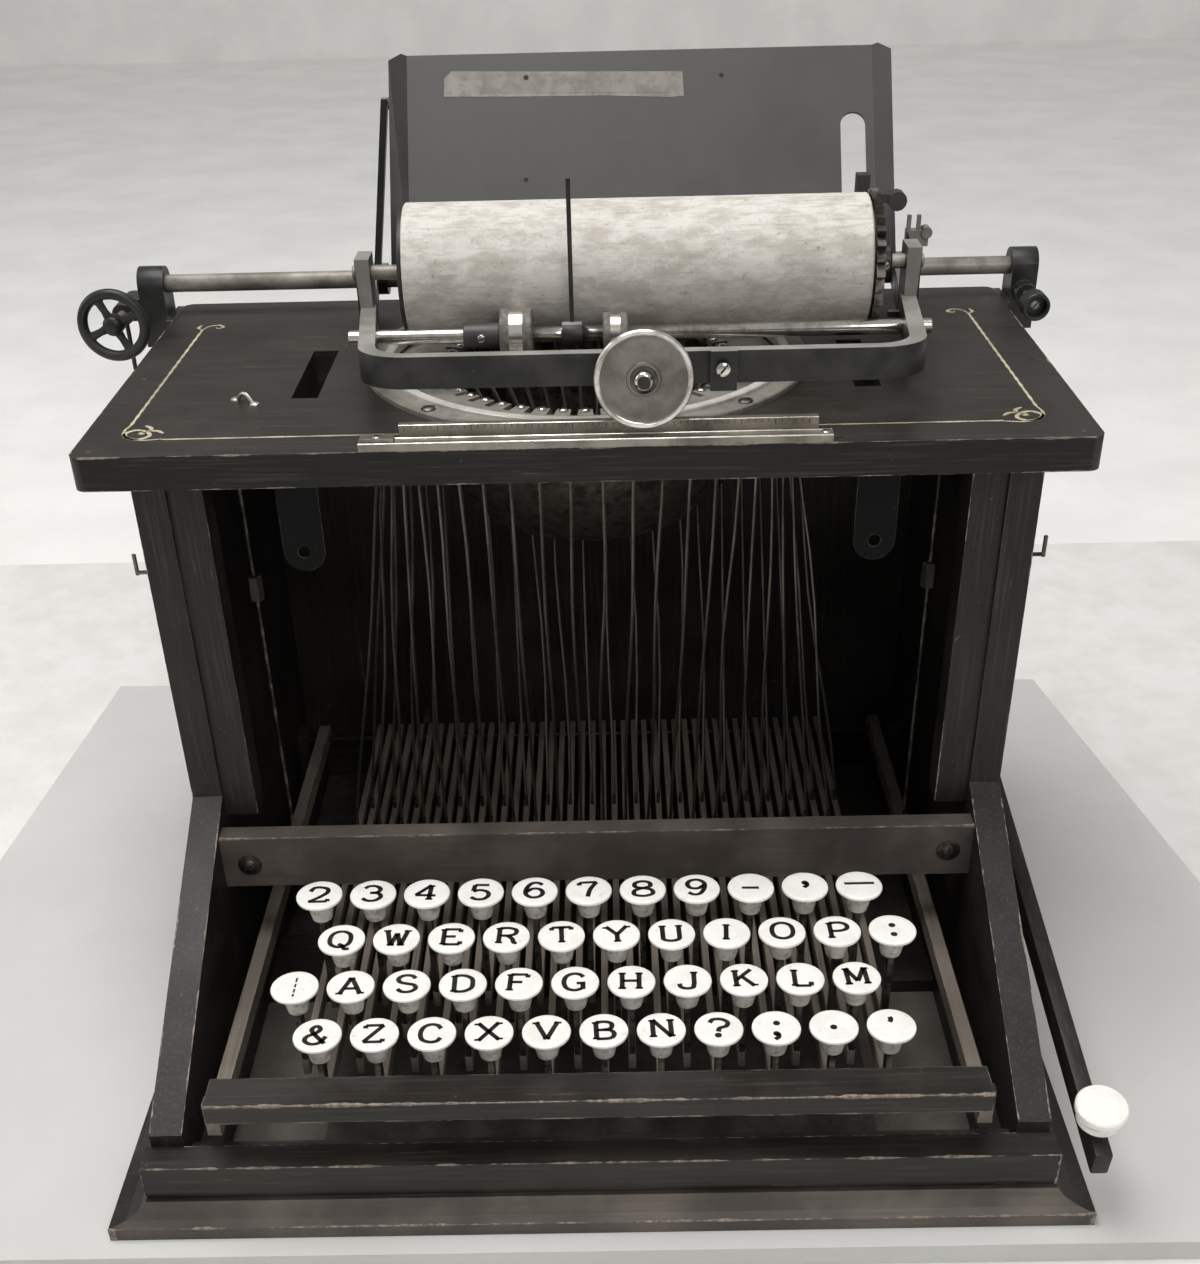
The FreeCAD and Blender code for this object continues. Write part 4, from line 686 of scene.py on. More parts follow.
# %% Table of letters
# A stroke is a row of x,y points on the unit square: ~ smooths it, t makes it thin, and o is a dot.
LETTERS = {
    "2": "~.08,.72 .22,.95 .5,1 .84,.9 .9,.66 .6,.36 .08,.03|.08,.03 .94,.03|.94,.03 .96,.2",
    "3": "~.1,.84 .3,.98 .62,.98 .85,.8 .75,.58 .4,.53|~.4,.53 .8,.48 .93,.25 .7,.02 .35,0 .08,.16",
    "4": ".7,0 .7,1|.7,1 .04,.3|.04,.3 .98,.3", "7": ".1,.78 .1,.97|.1,.97 .92,.97|~.92,.97 .6,.5 .45,0",
    "5": ".86,.97 .2,.97|.2,.97 .15,.55|~.15,.52 .45,.62 .8,.52 .9,.28 .7,.03 .35,0 .08,.14",
    "6": "~.85,.86 .6,1 .3,.92 .1,.55 .12,.2 .4,0 .75,.06 .9,.3 .75,.55 .4,.58 .12,.35",
    "8": "~.5,.53 .15,.65 .18,.9 .5,1 .82,.9 .85,.65 .5,.53 .12,.4 .08,.12 .5,0 .92,.12 .88,.4 .5,.53",
    "9": "~.15,.14 .4,0 .7,.08 .9,.45 .88,.8 .6,1 .25,.94 .1,.7 .25,.45 .6,.42 .88,.65",
    "-": ".1,.45 .9,.45", "_": "-.2,.6 1.2,.6", ",": "o.48,.72|~.55,.74 .56,.54 .4,.4",
    "Q": "~.5,1 .13,.85 .02,.5 .13,.15 .5,0 .87,.15 .98,.5 .87,.85 .5,1|~.45,.2 .65,.1 .8,-.12 1,-.08",
    "W": ".02,1 .27,0|.27,0 .5,.8|.5,.8 .73,0|.73,0 .98,1",
    "E": ".15,0 .15,1|.15,.98 .9,.98|.9,.98 .9,.8|.15,.52 .7,.52|.15,.02 .92,.02|.92,.02 .92,.22",
    "R": ".15,0 .15,1|~.15,.97 .6,.98 .9,.85 .88,.62 .6,.5 .15,.5|~.5,.5 .75,.3 .85,.05 1,.02",
    "T": ".5,0 .5,1|.05,.98 .95,.98|.05,.98 .05,.8|.95,.98 .95,.8",
    "Y": ".02,1 .5,.48|.98,1 .5,.48|.5,0 .5,.5",
    "U": ".12,1 .12,.3|~.12,.35 .16,.1 .5,0 .84,.1 .88,.35|.88,.3 .88,1", "I": ".5,0 .5,1",
    "O": "~.5,1 .13,.85 .02,.5 .13,.15 .5,0 .87,.15 .98,.5 .87,.85 .5,1",
    "P": ".15,0 .15,1|~.15,.98 .65,.98 .92,.82 .9,.58 .6,.46 .15,.46", ":": "o.5,.16|o.5,.74",
    "A": ".03,0 .5,1|.5,1 .97,0|.22,.34 .78,.34",
    "S": "~.88,.8 .7,.97 .35,1 .1,.82 .2,.6 .5,.5 .82,.4 .9,.18 .65,.01 .3,.02 .08,.2",
    "D": ".15,0 .15,1|~.15,.98 .6,.97 .92,.78 .97,.5 .92,.22 .6,.03 .15,.02",
    "F": ".15,0 .15,1|.15,.98 .92,.98|.92,.98 .92,.8|.15,.52 .7,.52",
    "G": "~.92,.78 .75,.95 .45,1 .15,.85 .03,.5 .15,.14 .5,0 .85,.1|.88,.42 .88,.05|.6,.42 1,.42",
    "H": ".12,0 .12,1|.88,0 .88,1|.12,.5 .88,.5",
    "J": "~.75,.3 .68,.05 .4,-.01 .15,.08 .08,.28|.75,.25 .75,1",
    "K": ".12,0 .12,1|.12,.38 .85,1|.4,.6 .92,0", "L": ".2,0 .2,1|.2,.02 .9,.02|.9,.02 .92,.25",
    "M": ".08,0 .08,1|.08,1 .5,.2|.5,.2 .92,1|.92,1 .92,0",
    "&": "~.95,.42 .7,.05 .35,-.02 .06,.15 .1,.4 .45,.6 .62,.82 .45,1 .25,.85 .35,.6 .95,.02",
    "Z": ".1,.8 .1,.97|.1,.97 .9,.97|.9,.97 .08,.03|.08,.03 .92,.03|.92,.03 .92,.2",
    "X": ".04,0 .96,1|.04,1 .96,0",
    "C": "~.92,.76 .75,.95 .45,1 .15,.85 .03,.5 .15,.14 .5,0 .8,.06 .94,.25", "V": ".02,1 .5,0|.5,0 .98,1",
    "B": ".15,0 .15,1|~.15,.98 .6,.98 .84,.85 .8,.6 .5,.53 .15,.53|~.45,.53 .8,.47 .93,.25 .75,.04 .15,.02",
    "N": ".1,0 .1,1|.1,1 .9,0|.9,0 .9,1",
    "?": "~.1,.78 .25,.97 .6,1 .88,.85 .85,.62 .55,.48 .48,.28|o.48,.08",
    ";": "o.5,.74|o.48,.14|~.55,.16 .56,-.04 .4,-.18", ".": "o.5,.45", "'": "~.5,1 .54,.85 .46,.7",
    "|": "t.5,.97 .5,.72|t.5,.62 .5,.4|t.5,.3 .5,.08|t.5,0 .5,-.15"}
print("letters in the table:", len(LETTERS))

# %% Lay one letter
LETTER_HIGH, LETTER_WIDE = 10.0, 8.8
STEM, HAIR, THIN, SERIF, DOT_R = 2.0, 1.55, 0.8, 3.0, 1.4


def letter(bm, text, place):
    """Lay one letter as ribbons; stems that end on the line get a serif."""
    for stroke in LETTERS[text].split("|"):
        if stroke.startswith("o"):
            x, y = map(float, stroke[1:].split(","))
            ring = [bm.verts.new(place(Vector(((x - 0.5) * LETTER_WIDE + DOT_R * math.cos(a),
                                               (y - 0.5) * LETTER_HIGH + DOT_R * math.sin(a)))))
                    for a in (math.pi * i / 8 for i in range(16))]
            bm.faces.new(ring)
            continue
        round_one = stroke.startswith("~")
        thin = stroke.startswith("t")
        points = [Vector(((float(x) - 0.5) * LETTER_WIDE, (float(y) - 0.5) * LETTER_HIGH))
                  for x, y in (pair.split(",") for pair in stroke.lstrip("~t").split())]
        path = smooth_path(points) if round_one else points
        ribbon(bm, path, lambda way, i: THIN if thin else HAIR + (STEM - HAIR) * abs(way.y) ** 1.5, place)
        if round_one or thin or abs((points[1] - points[0]).normalized().y) < 0.75:
            continue
        for end in points:
            if abs(abs(end.y) - LETTER_HIGH / 2) < 0.01:
                inward = -math.copysign(HAIR * 0.4, end.y)
                bar = [end + Vector((-SERIF / 2, inward)), end + Vector((SERIF / 2, inward))]
                ribbon(bm, bar, lambda way, i: HAIR * 0.7, place)


print("a letter is", LETTER_WIDE, "by", LETTER_HIGH, "mm, its stems", STEM, "mm")

# %% Legends on the keys
LEGEND_LIFT = 0.04
SHIFT_MM, TILT = 0.4, 0.06
ROWS = {1: "23456789-,_", 3: "QWERTYUIOP:", 0: "|ASDFGHJKLM", 2: "&ZCXVBN?;.'"}
hand = random.Random(7)


def legend(k, text):
    """The letter of key k, set down a little crooked, as by hand."""
    at = key_tops[k] + Vector((hand.uniform(-SHIFT_MM, SHIFT_MM), hand.uniform(-SHIFT_MM, SHIFT_MM),
                               LEGEND_LIFT))
    angle = hand.uniform(-TILT, TILT)

    def place(p):
        return at + Vector((p.x * math.cos(angle) - p.y * math.sin(angle),
                            p.x * math.sin(angle) + p.y * math.cos(angle), 0))

    piece("legend_%02d" % (k + 1), lambda bm: letter(bm, text, place), [paint], "key_%02d" % (k + 1),
          False)


for first, texts in ROWS.items():
    for i, text in enumerate(texts):
        legend(first + 4 * i, text)
print("legends:", sum(map(len, ROWS.values())))

# %% [markdown]
# ## Small shapes that come again
# Wires and screws come many times, so each has one function. A wire could be a curve with a bevel,
# but a ring of points carried along a path joins the other shapes in one mesh. A screw is a low dome
# with a dark slot of painted shade let into it.

# %% Wires
def tube(bm, points, radius, sides=8, index=0):
    """A round wire along points, closed at both ends; radius is a number or one for each point."""
    points = [Vector(p) for p in points]
    radii = radius if isinstance(radius, list) else [radius] * len(points)
    rings = []
    side = None
    for i, point in enumerate(points):
        along = (points[min(i + 1, len(points) - 1)] - points[max(i - 1, 0)]).normalized()
        side = (along.orthogonal() if side is None else side - along * side.dot(along)).normalized()
        across = along.cross(side)
        rings.append([bm.verts.new(point + (side * math.cos(a) + across * math.sin(a)) * radii[i])
                      for a in (2 * math.pi * j / sides for j in range(sides))])
    for low, high in zip(rings, rings[1:]):
        for j in range(sides):
            k = (j + 1) % sides
            bm.faces.new((low[j], low[k], high[k], high[j])).material_index = index
    for ring in (rings[0], rings[-1]):
        bm.faces.new(ring).material_index = index


trial = bmesh.new()
tube(trial, [(0, 0, 0), (0, 0, 1)], 0.5)
print("a straight wire has", len(trial.faces), "faces")
trial.free()


# %% Screws
def oriented(bm, make, to):
    """Run make(bm), then carry what it made from the Z axis by the matrix to."""
    known = set(bm.verts)
    make(bm)
    bmesh.ops.transform(bm, matrix=to, verts=[v for v in bm.verts if v not in known])


def facing(at, normal, turn=0):
    """The matrix that takes Z to normal, at a place, after a turn about it."""
    return (Matrix.Translation(Vector(at)) @ Vector(normal).to_track_quat("Z", "Y").to_matrix().to_4x4()
            @ Matrix.Rotation(turn, 4, "Z"))


def screw(bm, at, normal, radius, high, turn=0, head=0, slot=1, washer=0):
    """A domed slotted screw; washer is the radius of a flat one under it."""
    def make(bm):
        if washer:
            turned(bm, [(0, 0), (washer, 0), (washer, 0.5), (washer - 0.3, 0.7), (0, 0.7)], (0, 0, 0),
                   segments=20, index=head)
        base = 0.7 if washer else 0
        turned(bm, [(radius, base), (radius, base + high * 0.35), (radius * 0.85, base + high * 0.7),
                    (radius * 0.5, base + high * 0.94), (0, base + high)], (0, 0, 0),
               segments=20, index=head)
        # The slot is a dark bar of painted shade across the dome.
        for reach, top in ((0.92, high * 0.72 + 0.1), (0.55, high + 0.04)):
            slab(bm, (-radius * reach, -radius * 0.14, base), (radius * reach, radius * 0.14, base + top),
                 0, slot)
    oriented(bm, make, facing(at, normal, turn))


# Slots and holes: soft brown-black painted shade with no gleam, mottled like dirt, so that they read as
# depth.
shadow, shadow_tree, shadow_shader = start_material("painted shade in slots and holes", Roughness=0.8)
grime = add(shadow_tree, "ShaderNodeMix", {"data_type": "RGBA"},
            {"Factor": pattern(shadow_tree, 1.5, 3), 6: srgb("#0b0a09"), 7: srgb("#24201c")})
finish(shadow_tree, shadow_shader, grime.outputs[2])
print("slot material:", shadow.name)

# %% [markdown]
# ## Type basket
# A pale steel ring lies on the top board. Inside its bright lip a second ring is slotted for the
# forty-four type bars, with a screw on each tongue, and a dark bowl hangs below. Turned outlines give
# the round parts; the tongues are single wedges, so that the slots between them are really open.

# %% Basket
BASKET_AT = (0, 75, 0)
TYPE_COUNT = 44
SLOT_WIDE = 3.0
TONGUE_IN, TONGUE_OUT = 60.0, 67.0
TONGUE_LOW, TONGUE_TOP = 265.5, 267.5
FLANGE = [(83, 269), (95, 269), (95, 270.7), (94.6, 271.2), (87.6, 271.2), (87, 271.5)]
LIP = [(87, 271.5), (87, 272.6), (86.6, 273), (83.5, 273), (83, 272.5), (83, 269)]
RIM = [(67, 265.5), (83, 265.5), (83, 267.5), (67, 267.5), (67, 265.5)]
BOWL = [(85, 262), (85, 268.9), (83, 268.9), (83, 262), (77, 247), (64, 225), (48, 208), (40, 205),
        (40, 203), (49, 206), (66, 224), (79, 246), (85, 262)]
TONGUE_SCREW_R = TONGUE_IN + 2.4
ARC_STEPS = 4
RING_SCREW_R, RING_SCREW_Z, RING_SCREW_DEGREES = 91, 271.2, (-133, -46, 46, 133)


def on_circle(radius, angle, z):
    """A place at a radius and an angle round the basket."""
    return Vector((math.cos(angle) * radius, math.sin(angle) * radius + BASKET_AT[1], z))


def wedge(bm, middle, inner, outer, low, high, gap, index):
    """A tongue between two radii, with parallel slots of width gap at its sides."""
    half = math.pi / TYPE_COUNT
    corners = []
    for radius in (inner, outer):
        shift = math.asin(gap / 2 / radius)
        angles = [middle - half + shift + (2 * half - 2 * shift) * i / ARC_STEPS
                  for i in range(ARC_STEPS + 1)]
        corners.append([(radius * math.cos(a), radius * math.sin(a) + BASKET_AT[1]) for a in angles])
    loop = corners[0] + corners[1][::-1]
    top = [bm.verts.new((x, y, high)) for x, y in loop]
    bottom = [bm.verts.new((x, y, low)) for x, y in loop]
    faces = [bm.faces.new(top), bm.faces.new(bottom[::-1])]
    for i in range(len(loop)):
        j = (i + 1) % len(loop)
        faces.append(bm.faces.new((top[i], bottom[i], bottom[j], top[j])))
    for face in faces:
        face.material_index = index


def build_basket(bm):
    turned(bm, FLANGE, BASKET_AT, segments=128, index=0)
    # The lip carries the pale painted highlight.
    turned(bm, LIP, BASKET_AT, segments=128, index=4)
    turned(bm, RIM, BASKET_AT, segments=88, index=0)
    turned(bm, BOWL, BASKET_AT, segments=88, index=2)
    for i in range(TYPE_COUNT):
        angle = 2 * math.pi * i / TYPE_COUNT
        wedge(bm, angle, TONGUE_IN, TONGUE_OUT, TONGUE_LOW, TONGUE_TOP, SLOT_WIDE, 0)
        screw(bm, on_circle(TONGUE_SCREW_R, angle, TONGUE_TOP), (0, 0, 1), 1.9, 1.3,
              hand.uniform(0, 3), 1, 3)
    for angle in map(math.radians, RING_SCREW_DEGREES):
        screw(bm, on_circle(RING_SCREW_R, angle, RING_SCREW_Z), (0, 0, 1), 3.0, 1.2, 0.6, 2, 3)


basket = piece("basket_dressed", build_basket, [ring_steel, bright_steel, dark_steel, shadow, lip_highlight],
               "frame")
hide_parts("type_basket")
print("basket: %d tongues" % TYPE_COUNT)

# %% [markdown]
# ### Type bars and wires
# Each bar hangs from the ring into the bowl with its type block at the tip, and a wire runs from its
# heel down to a key lever. They could be finely rounded rods, but they are thin and many, so six
# sides are enough. The wires bow a little, each its own way, as hand-bent ones do.

# %% Type bars and their wires
PIVOT_R, PIVOT_Z = 79, 260
BAR_LONG, BAR_FALL = 79, math.radians(50)
WIRE_R, WIRE_TOP = 87.8, 261.6
WIRE_FOOT = 49.6
LEVER_PITCH = 5.575
WIRE_SWAY, WIRE_STEPS = 2.4, 8


def ring_angle(k):
    """Direction of type bar k from the middle of the basket: even levers serve the front half."""
    way = math.pi * (k // 2 + 0.5) / (TYPE_COUNT / 2)
    return math.pi + way if k % 2 == 0 else math.pi - way


def build_bars(bm):
    stray = random.Random(3)
    for k in range(TYPE_COUNT):
        angle = ring_angle(k)
        out = Vector((math.cos(angle), math.sin(angle), 0))
        middle = Vector((0, BASKET_AT[1], 0))
        pivot = middle + out * PIVOT_R + Vector((0, 0, PIVOT_Z))
        fall = -out * math.cos(BAR_FALL) - Vector((0, 0, math.sin(BAR_FALL)))
        end = pivot + fall * (BAR_LONG - 1)
        tube(bm, [pivot, pivot + fall * 8, pivot + fall * 40, end], [1.45, 1.3, 0.95, 0.8], 6, 0)
        tube(bm, [end - fall * 4, end - fall * 0.2], 1.35, 4, 2)
        top = middle + out * WIRE_R + Vector((0, 0, WIRE_TOP))
        foot = Vector(((k - (TYPE_COUNT - 1) / 2) * LEVER_PITCH, CLIP_Y[k % 2], WIRE_FOOT))
        sway = Vector((stray.uniform(-1, 1), stray.uniform(-1, 1), 0)) * WIRE_SWAY
        phase = stray.uniform(0, 3)
        path = [top.lerp(foot, t) + sway * math.sin(t * math.pi * 2 + phase) * math.sin(t * math.pi)
                for t in (i / WIRE_STEPS for i in range(WIRE_STEPS + 1))]
        tube(bm, path, 0.75, 6, 1)


bars = piece("type_bars_dressed", build_bars, [steel, wire_steel, bright_steel], "frame")
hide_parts("type_bars")
print("type bars and wires:", len(bars.data.polygons), "faces")

# %% [markdown]
# ## Platen
# The roller is wood wrapped in pale cloth, blotched and darker towards the bottom, held between two
# iron discs. At its right end a ratchet wheel and a hub ride on the axle. Plain cylinders could stand
# in, but turned outlines also give the small eased rims that catch the light. The teeth are a flat
# star, because a ratchet's teeth are cut straight through.

# %% Platen cloth
DARKEN_TOP, DARKEN_LOW = 316, 284
THREAD_MM = 1.3


def stained_cloth():
    """Pale cloth with threads along the roller, blotched, pitted, and darker towards the bottom."""
    material, tree, shader = start_material("stained platen cloth", Roughness=0.8)
    blotch = pattern(tree, 9, 8, 0.75, stretch=(0.5, 1, 1))
    threads = pattern(tree, THREAD_MM, 4, 0.65, stretch=(0.09, 1, 1))
    turns = pattern(tree, 1.5, 3, 0.6, stretch=(1, 0.2, 0.2))
    pits = pattern(tree, 2.6, 5, 0.75)
    place = add(tree, "ShaderNodeTexCoord")
    height = add(tree, "ShaderNodeSeparateXYZ", links={"Vector": place.outputs["Object"]}).outputs["Z"]
    # The cloth is mixed toward grey-brown lower on the roller, most at the bottom.
    lower_part = add(tree, "ShaderNodeMapRange", {"interpolation_type": "SMOOTHSTEP"},
                 {"Value": height, "From Min": DARKEN_LOW * MM, "From Max": DARKEN_TOP * MM,
                  "To Min": 0.85, "To Max": 0})
    patchy = add(tree, "ShaderNodeMapRange", {"interpolation_type": "SMOOTHSTEP"},
                 {"Value": blotch, "From Min": 0.3, "From Max": 0.6, "To Min": 0.35, "To Max": 1})
    stained = add(tree, "ShaderNodeMath", {"operation": "MULTIPLY", "use_clamp": True},
                  {0: lower_part.outputs["Result"], 1: patchy.outputs["Result"]})
    faint = add(tree, "ShaderNodeMath", {"operation": "MULTIPLY", "use_clamp": True},
                {0: stained.outputs[0], 1: 0.4})
    coat = layer(tree, srgb("#d3cfc8"), srgb("#aaa399"), blotch, 0.4, 0.62, 0.75)
    coat = layer(tree, coat, srgb("#978c7e"), threads, 0.5, 0.72, 0.45)
    coat = layer(tree, coat, srgb("#94897b"), turns, 0.58, 0.78, 0.22)
    coat = add(tree, "ShaderNodeMix", {"data_type": "RGBA"},
               {"Factor": faint.outputs[0], 6: coat, 7: srgb("#857b6e")}).outputs[2]
    coat = layer(tree, coat, srgb("#6f6457"), pits, 0.6, 0.7, 0.65)
    weave = add(tree, "ShaderNodeMath", {"operation": "ADD", "use_clamp": True}, {0: threads, 1: turns})
    finish(tree, shader, coat, relief=(weave.outputs[0], 0.1, 0.5))
    return material


# Cloth: pale and matt, its threads a little coarser than real ones so that they show.
platen_cloth = stained_cloth()
print("cloth threads:", THREAD_MM, "mm")

# %% Ratchet teeth
TEETH, TOOTH_R, ROOT_R = 30, 28.5, 25.6
TOOTH_SHARE = 0.82


def star(bm, x0, x1, outer, inner, teeth, y, z, index):
    """A ratchet disc between two places on X."""
    rows = []
    for x in (x0, x1):
        row = []
        for i in range(teeth):
            start, stop = 2 * math.pi * i / teeth, 2 * math.pi * (i + TOOTH_SHARE) / teeth
            for angle, radius in ((start, inner), (stop, outer)):
                row.append(bm.verts.new((x, y + math.cos(angle) * radius, z + math.sin(angle) * radius)))
        rows.append(row)
    faces = [bm.faces.new(rows[0]), bm.faces.new(rows[1][::-1])]
    for i in range(len(rows[0])):
        j = (i + 1) % len(rows[0])
        faces.append(bm.faces.new((rows[0][i], rows[0][j], rows[1][j], rows[1][i])))
    for face in faces:
        face.material_index = index


print("ratchet:", TEETH, "teeth,", round(TOOTH_R - ROOT_R, 1), "mm deep")

# %% Platen
PLATEN_Y, PLATEN_Z = 75, 307
ROLLER = [(0, -73.2), (26.4, -73.2), (27, -72.7), (27, 116.2), (26.5, 116.8), (0, 116.8)]
LEFT_DISC = [(0, -75.2), (24.9, -75.2), (25.5, -74.7), (25.5, -73.2), (0, -73.2)]
RIGHT_DISC = [(0, 116.8), (25, 116.8), (25, 117.8), (0, 117.8)]
RATCHET_LEFT, RATCHET_RIGHT = 117.8, 121.3
HUB = [(0, 121.3), (8, 121.3), (8, 126.6), (7.3, 127.3), (0, 127.3)]
AXLE_LEFT = [(0, -96.8), (2.5, -96.8), (3, -96.3), (3, -75)]
AXLE_RIGHT = [(3, 127), (3, 140.9), (2.5, 141.4), (0, 141.4)]


def build_platen(bm):
    middle = (0, PLATEN_Y, PLATEN_Z)
    turned(bm, ROLLER, middle, "X", 96, 0)
    turned(bm, LEFT_DISC, middle, "X", 64, 1)
    turned(bm, RIGHT_DISC, middle, "X", 64, 1)
    star(bm, RATCHET_LEFT, RATCHET_RIGHT, TOOTH_R, ROOT_R, TEETH, PLATEN_Y, PLATEN_Z, 2)
    turned(bm, HUB, middle, "X", 40, 1)
    turned(bm, AXLE_LEFT, middle, "X", 24, 3)
    turned(bm, AXLE_RIGHT, middle, "X", 24, 3)
    screw(bm, (124.5, PLATEN_Y - 7.6, PLATEN_Z), (0, -1, 0), 1.8, 0.8, 0.4, 3, 4)


platen = piece("platen_dressed", build_platen, [platen_cloth, iron, dark_steel, rod_steel, shadow],
               "platen")
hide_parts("platen")
print("platen:", len(platen.data.polygons), "faces")

# %% [markdown]
# ## Feed shaft and guide wheel
# The feed shaft is one turned rod with a collar and two rollers shod in rubber, which press the paper
# to the platen. The guide wheel has a flange that keeps it on the rule. A lathe made both, so each is
# a row of outlines turned about one axis, a material to each outline.

# %% Feed shaft and its rollers
FEED_Y, FEED_Z = 41, 290
# Each row is a stretch of the shaft: its outline of (radius, place on X), its sides, its material.
SHAFT = [([(0, -95.7), (2.6, -95.7), (3, -95.3), (3, -49.1)], 24, 0),
         ([(3, -49), (4.6, -49), (5, -48.5), (5, -34.6), (4.4, -34)], 32, 1),
         ([(3, -34), (9.8, -34), (10.4, -33.4), (10.4, -30.2)], 48, 2),
         ([(10.4, -30.2), (10.4, -24.8)], 48, 0),
         ([(10.4, -24.8), (10.4, -21.6), (9.8, -21), (3, -21)], 48, 2),
         ([(3, -21), (3, 7.5)], 24, 0),
         ([(3, 7.5), (7.6, 7.5), (8, 7.9), (8, 10.5)], 48, 2),
         ([(8, 10.5), (8, 14.5)], 48, 0),
         ([(8, 14.5), (8, 17.1), (7.6, 17.5), (3, 17.5)], 48, 2),
         ([(3, 17.5), (3, 139.9), (2.6, 140.3), (0, 140.3)], 24, 0)]


def build_feed(bm):
    for outline, sides, index in SHAFT:
        turned(bm, outline, (0, FEED_Y, FEED_Z), "X", sides, index)
    screw(bm, (-41.5, FEED_Y - 4.7, FEED_Z), (0, -1, 0), 1.7, 0.8, 0.4, 0, 3)


# Rubber gone hard: matt mid grey with a fine crazed surface.
rubber = two_tone("hardened grey rubber", 0.6, ("#57534f", "#7d7872"), (0.4, 0.7), 3, 5, 0.7, 0.1)
# Collar: iron kept dark by oil, a little paler than the brackets.
collar_iron = japanned_iron("oiled collar iron", "#33312f", "#4b4845")
feed = piece("feed_shaft_dressed", build_feed, [bright_steel, collar_iron, rubber, shadow],
             "feed_shaft")
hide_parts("feed_shaft")
print("feed shaft:", len(SHAFT), "stretches")

# %% Guide wheel
GUIDE_X, GUIDE_Z = 22.3, 292.8
TREAD = [(0, -19.5), (15.6, -19.5), (16, -19.9), (16, -25), (17.9, -25), (18.5, -25.5), (18.5, -26.7),
         (18.1, -27.2), (16.9, -27.2), (16.4, -26.7)]
DISH = [(16.4, -26.7), (13.5, -26.2), (9.5, -26.0), (6.6, -26.2), (6.2, -26.9), (0, -26.9)]
WASHER = [(5.2, -26.8), (5, -27.7), (3.9, -27.9)]


def build_guide(bm):
    middle = (GUIDE_X, 0, GUIDE_Z)
    turned(bm, TREAD, middle, "Y", 72, 0)
    turned(bm, DISH, middle, "Y", 72, 3)
    turned(bm, WASHER, middle, "Y", 40, 1)
    screw(bm, (GUIDE_X, -27.7, GUIDE_Z), (0, -1, 0), 3.7, 2.4, 0.5, 0, 2)


guide = piece("guide_wheel_dressed", build_guide, [bright_steel, dark_steel, shadow, wheel_steel],
              "guide_wheel")
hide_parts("guide_wheel")
print("guide wheel:", len(guide.data.polygons), "faces")

# %% [markdown]
# ## Hand wheel, ribbon knob and return lever
# The ribbon spools turn by a cast wheel at the left and a small cup at the right, both blackened iron.
# The lever at the right side is wood, with a porcelain finger knob whose two discs are one turning.
# The rim could be a torus, but one outline turned on a lathe axis makes it with the other turnings,
# and each spoke is a row of eight-sided slices that swell toward the rim, as a casting's do.

# %% Hand wheel
WHEEL_X, KNOB_X, WHEEL_Y, WHEEL_Z = -217, 204, 125, 273
WHEEL_R, WHEEL_RIM = 16.5, 4.8
SPINDLE_LONG = 166 - WHEEL_Y
SPOKES, FIRST_SPOKE_DEGREES = 4, 25
WHEEL_HUB = [(0, -3.9), (2.4, -3.7), (4, -2.8), (4.6, -1.6), (4.6, 3.2), (4, 3.9), (2, 3.9)]
WHEEL_SPINDLE = [(2, 3.9), (2, SPINDLE_LONG - 0.4), (1.6, SPINDLE_LONG), (0, SPINDLE_LONG)]
# A slice of a spoke: how far out it is, half its width and half its depth.
SPOKE_SLICES = [(3.6, 2.1, 1.3), (7, 1.6, 1.15), (10.5, 1.8, 1.1), (13, 2.7, 1.4)]
OCTAGON = [(-1, -0.4), (-0.5, -1), (0.5, -1), (1, -0.4), (1, 0.4), (0.5, 1), (-0.5, 1), (-1, 0.4)]


def build_wheel(bm):
    middle = (WHEEL_X, WHEEL_Y, WHEEL_Z)
    half = WHEEL_RIM / 2
    ring = [(WHEEL_R - half + half * math.cos(a), half * math.sin(a))
            for a in (math.pi * i / 8 for i in range(17))]
    turned(bm, ring, middle, "Y", 64, 0)
    turned(bm, WHEEL_HUB, middle, "Y", 40, 0)
    turned(bm, WHEEL_SPINDLE, middle, "Y", 24, 1)
    for i in range(SPOKES):
        angle = math.radians(FIRST_SPOKE_DEGREES + 360 / SPOKES * i)
        way = Vector((math.cos(angle), 0, math.sin(angle)))
        across = Vector((-way.z, 0, way.x))
        rows = []
        for far, wide, deep in SPOKE_SLICES:
            at = Vector(middle) + way * far
            rows.append([bm.verts.new(at + across * s * wide + Vector((0, t * deep, 0)))
                         for s, t in OCTAGON])
        for a, b in zip(rows, rows[1:]):
            for j in range(8):
                bm.faces.new((a[j], a[(j + 1) % 8], b[(j + 1) % 8], b[j]))


wheel = piece("hand_wheel_dressed", build_wheel, [iron, rod_steel], "hand_wheel")
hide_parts("hand_wheel")
print("hand wheel:", SPOKES, "spokes")

# %% Ribbon knob
CUP = [(0, -0.1), (4.5, -0.1), (4.6, -4.2), (5, -4.5), (5.8, -4.5), (6.2, -4), (6.2, 3.9), (5.6, 4.5),
       (2, 4.5)]


def build_knob(bm):
    middle = (KNOB_X, WHEEL_Y, WHEEL_Z)
    turned(bm, CUP, middle, "Y", 48, 0)
    turned(bm, [(2, 4.5), (2, SPINDLE_LONG), (0, SPINDLE_LONG)], middle, "Y", 24, 1)
    screw(bm, (KNOB_X, WHEEL_Y - 0.1, WHEEL_Z), (0, -1, 0), 2.2, 1, 0.9, 1, 2)


knob = piece("ribbon_knob_dressed", build_knob, [iron, rod_steel, shadow], "ribbon_knob")
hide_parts("ribbon_knob")
print("ribbon knob:", len(knob.data.polygons), "faces")

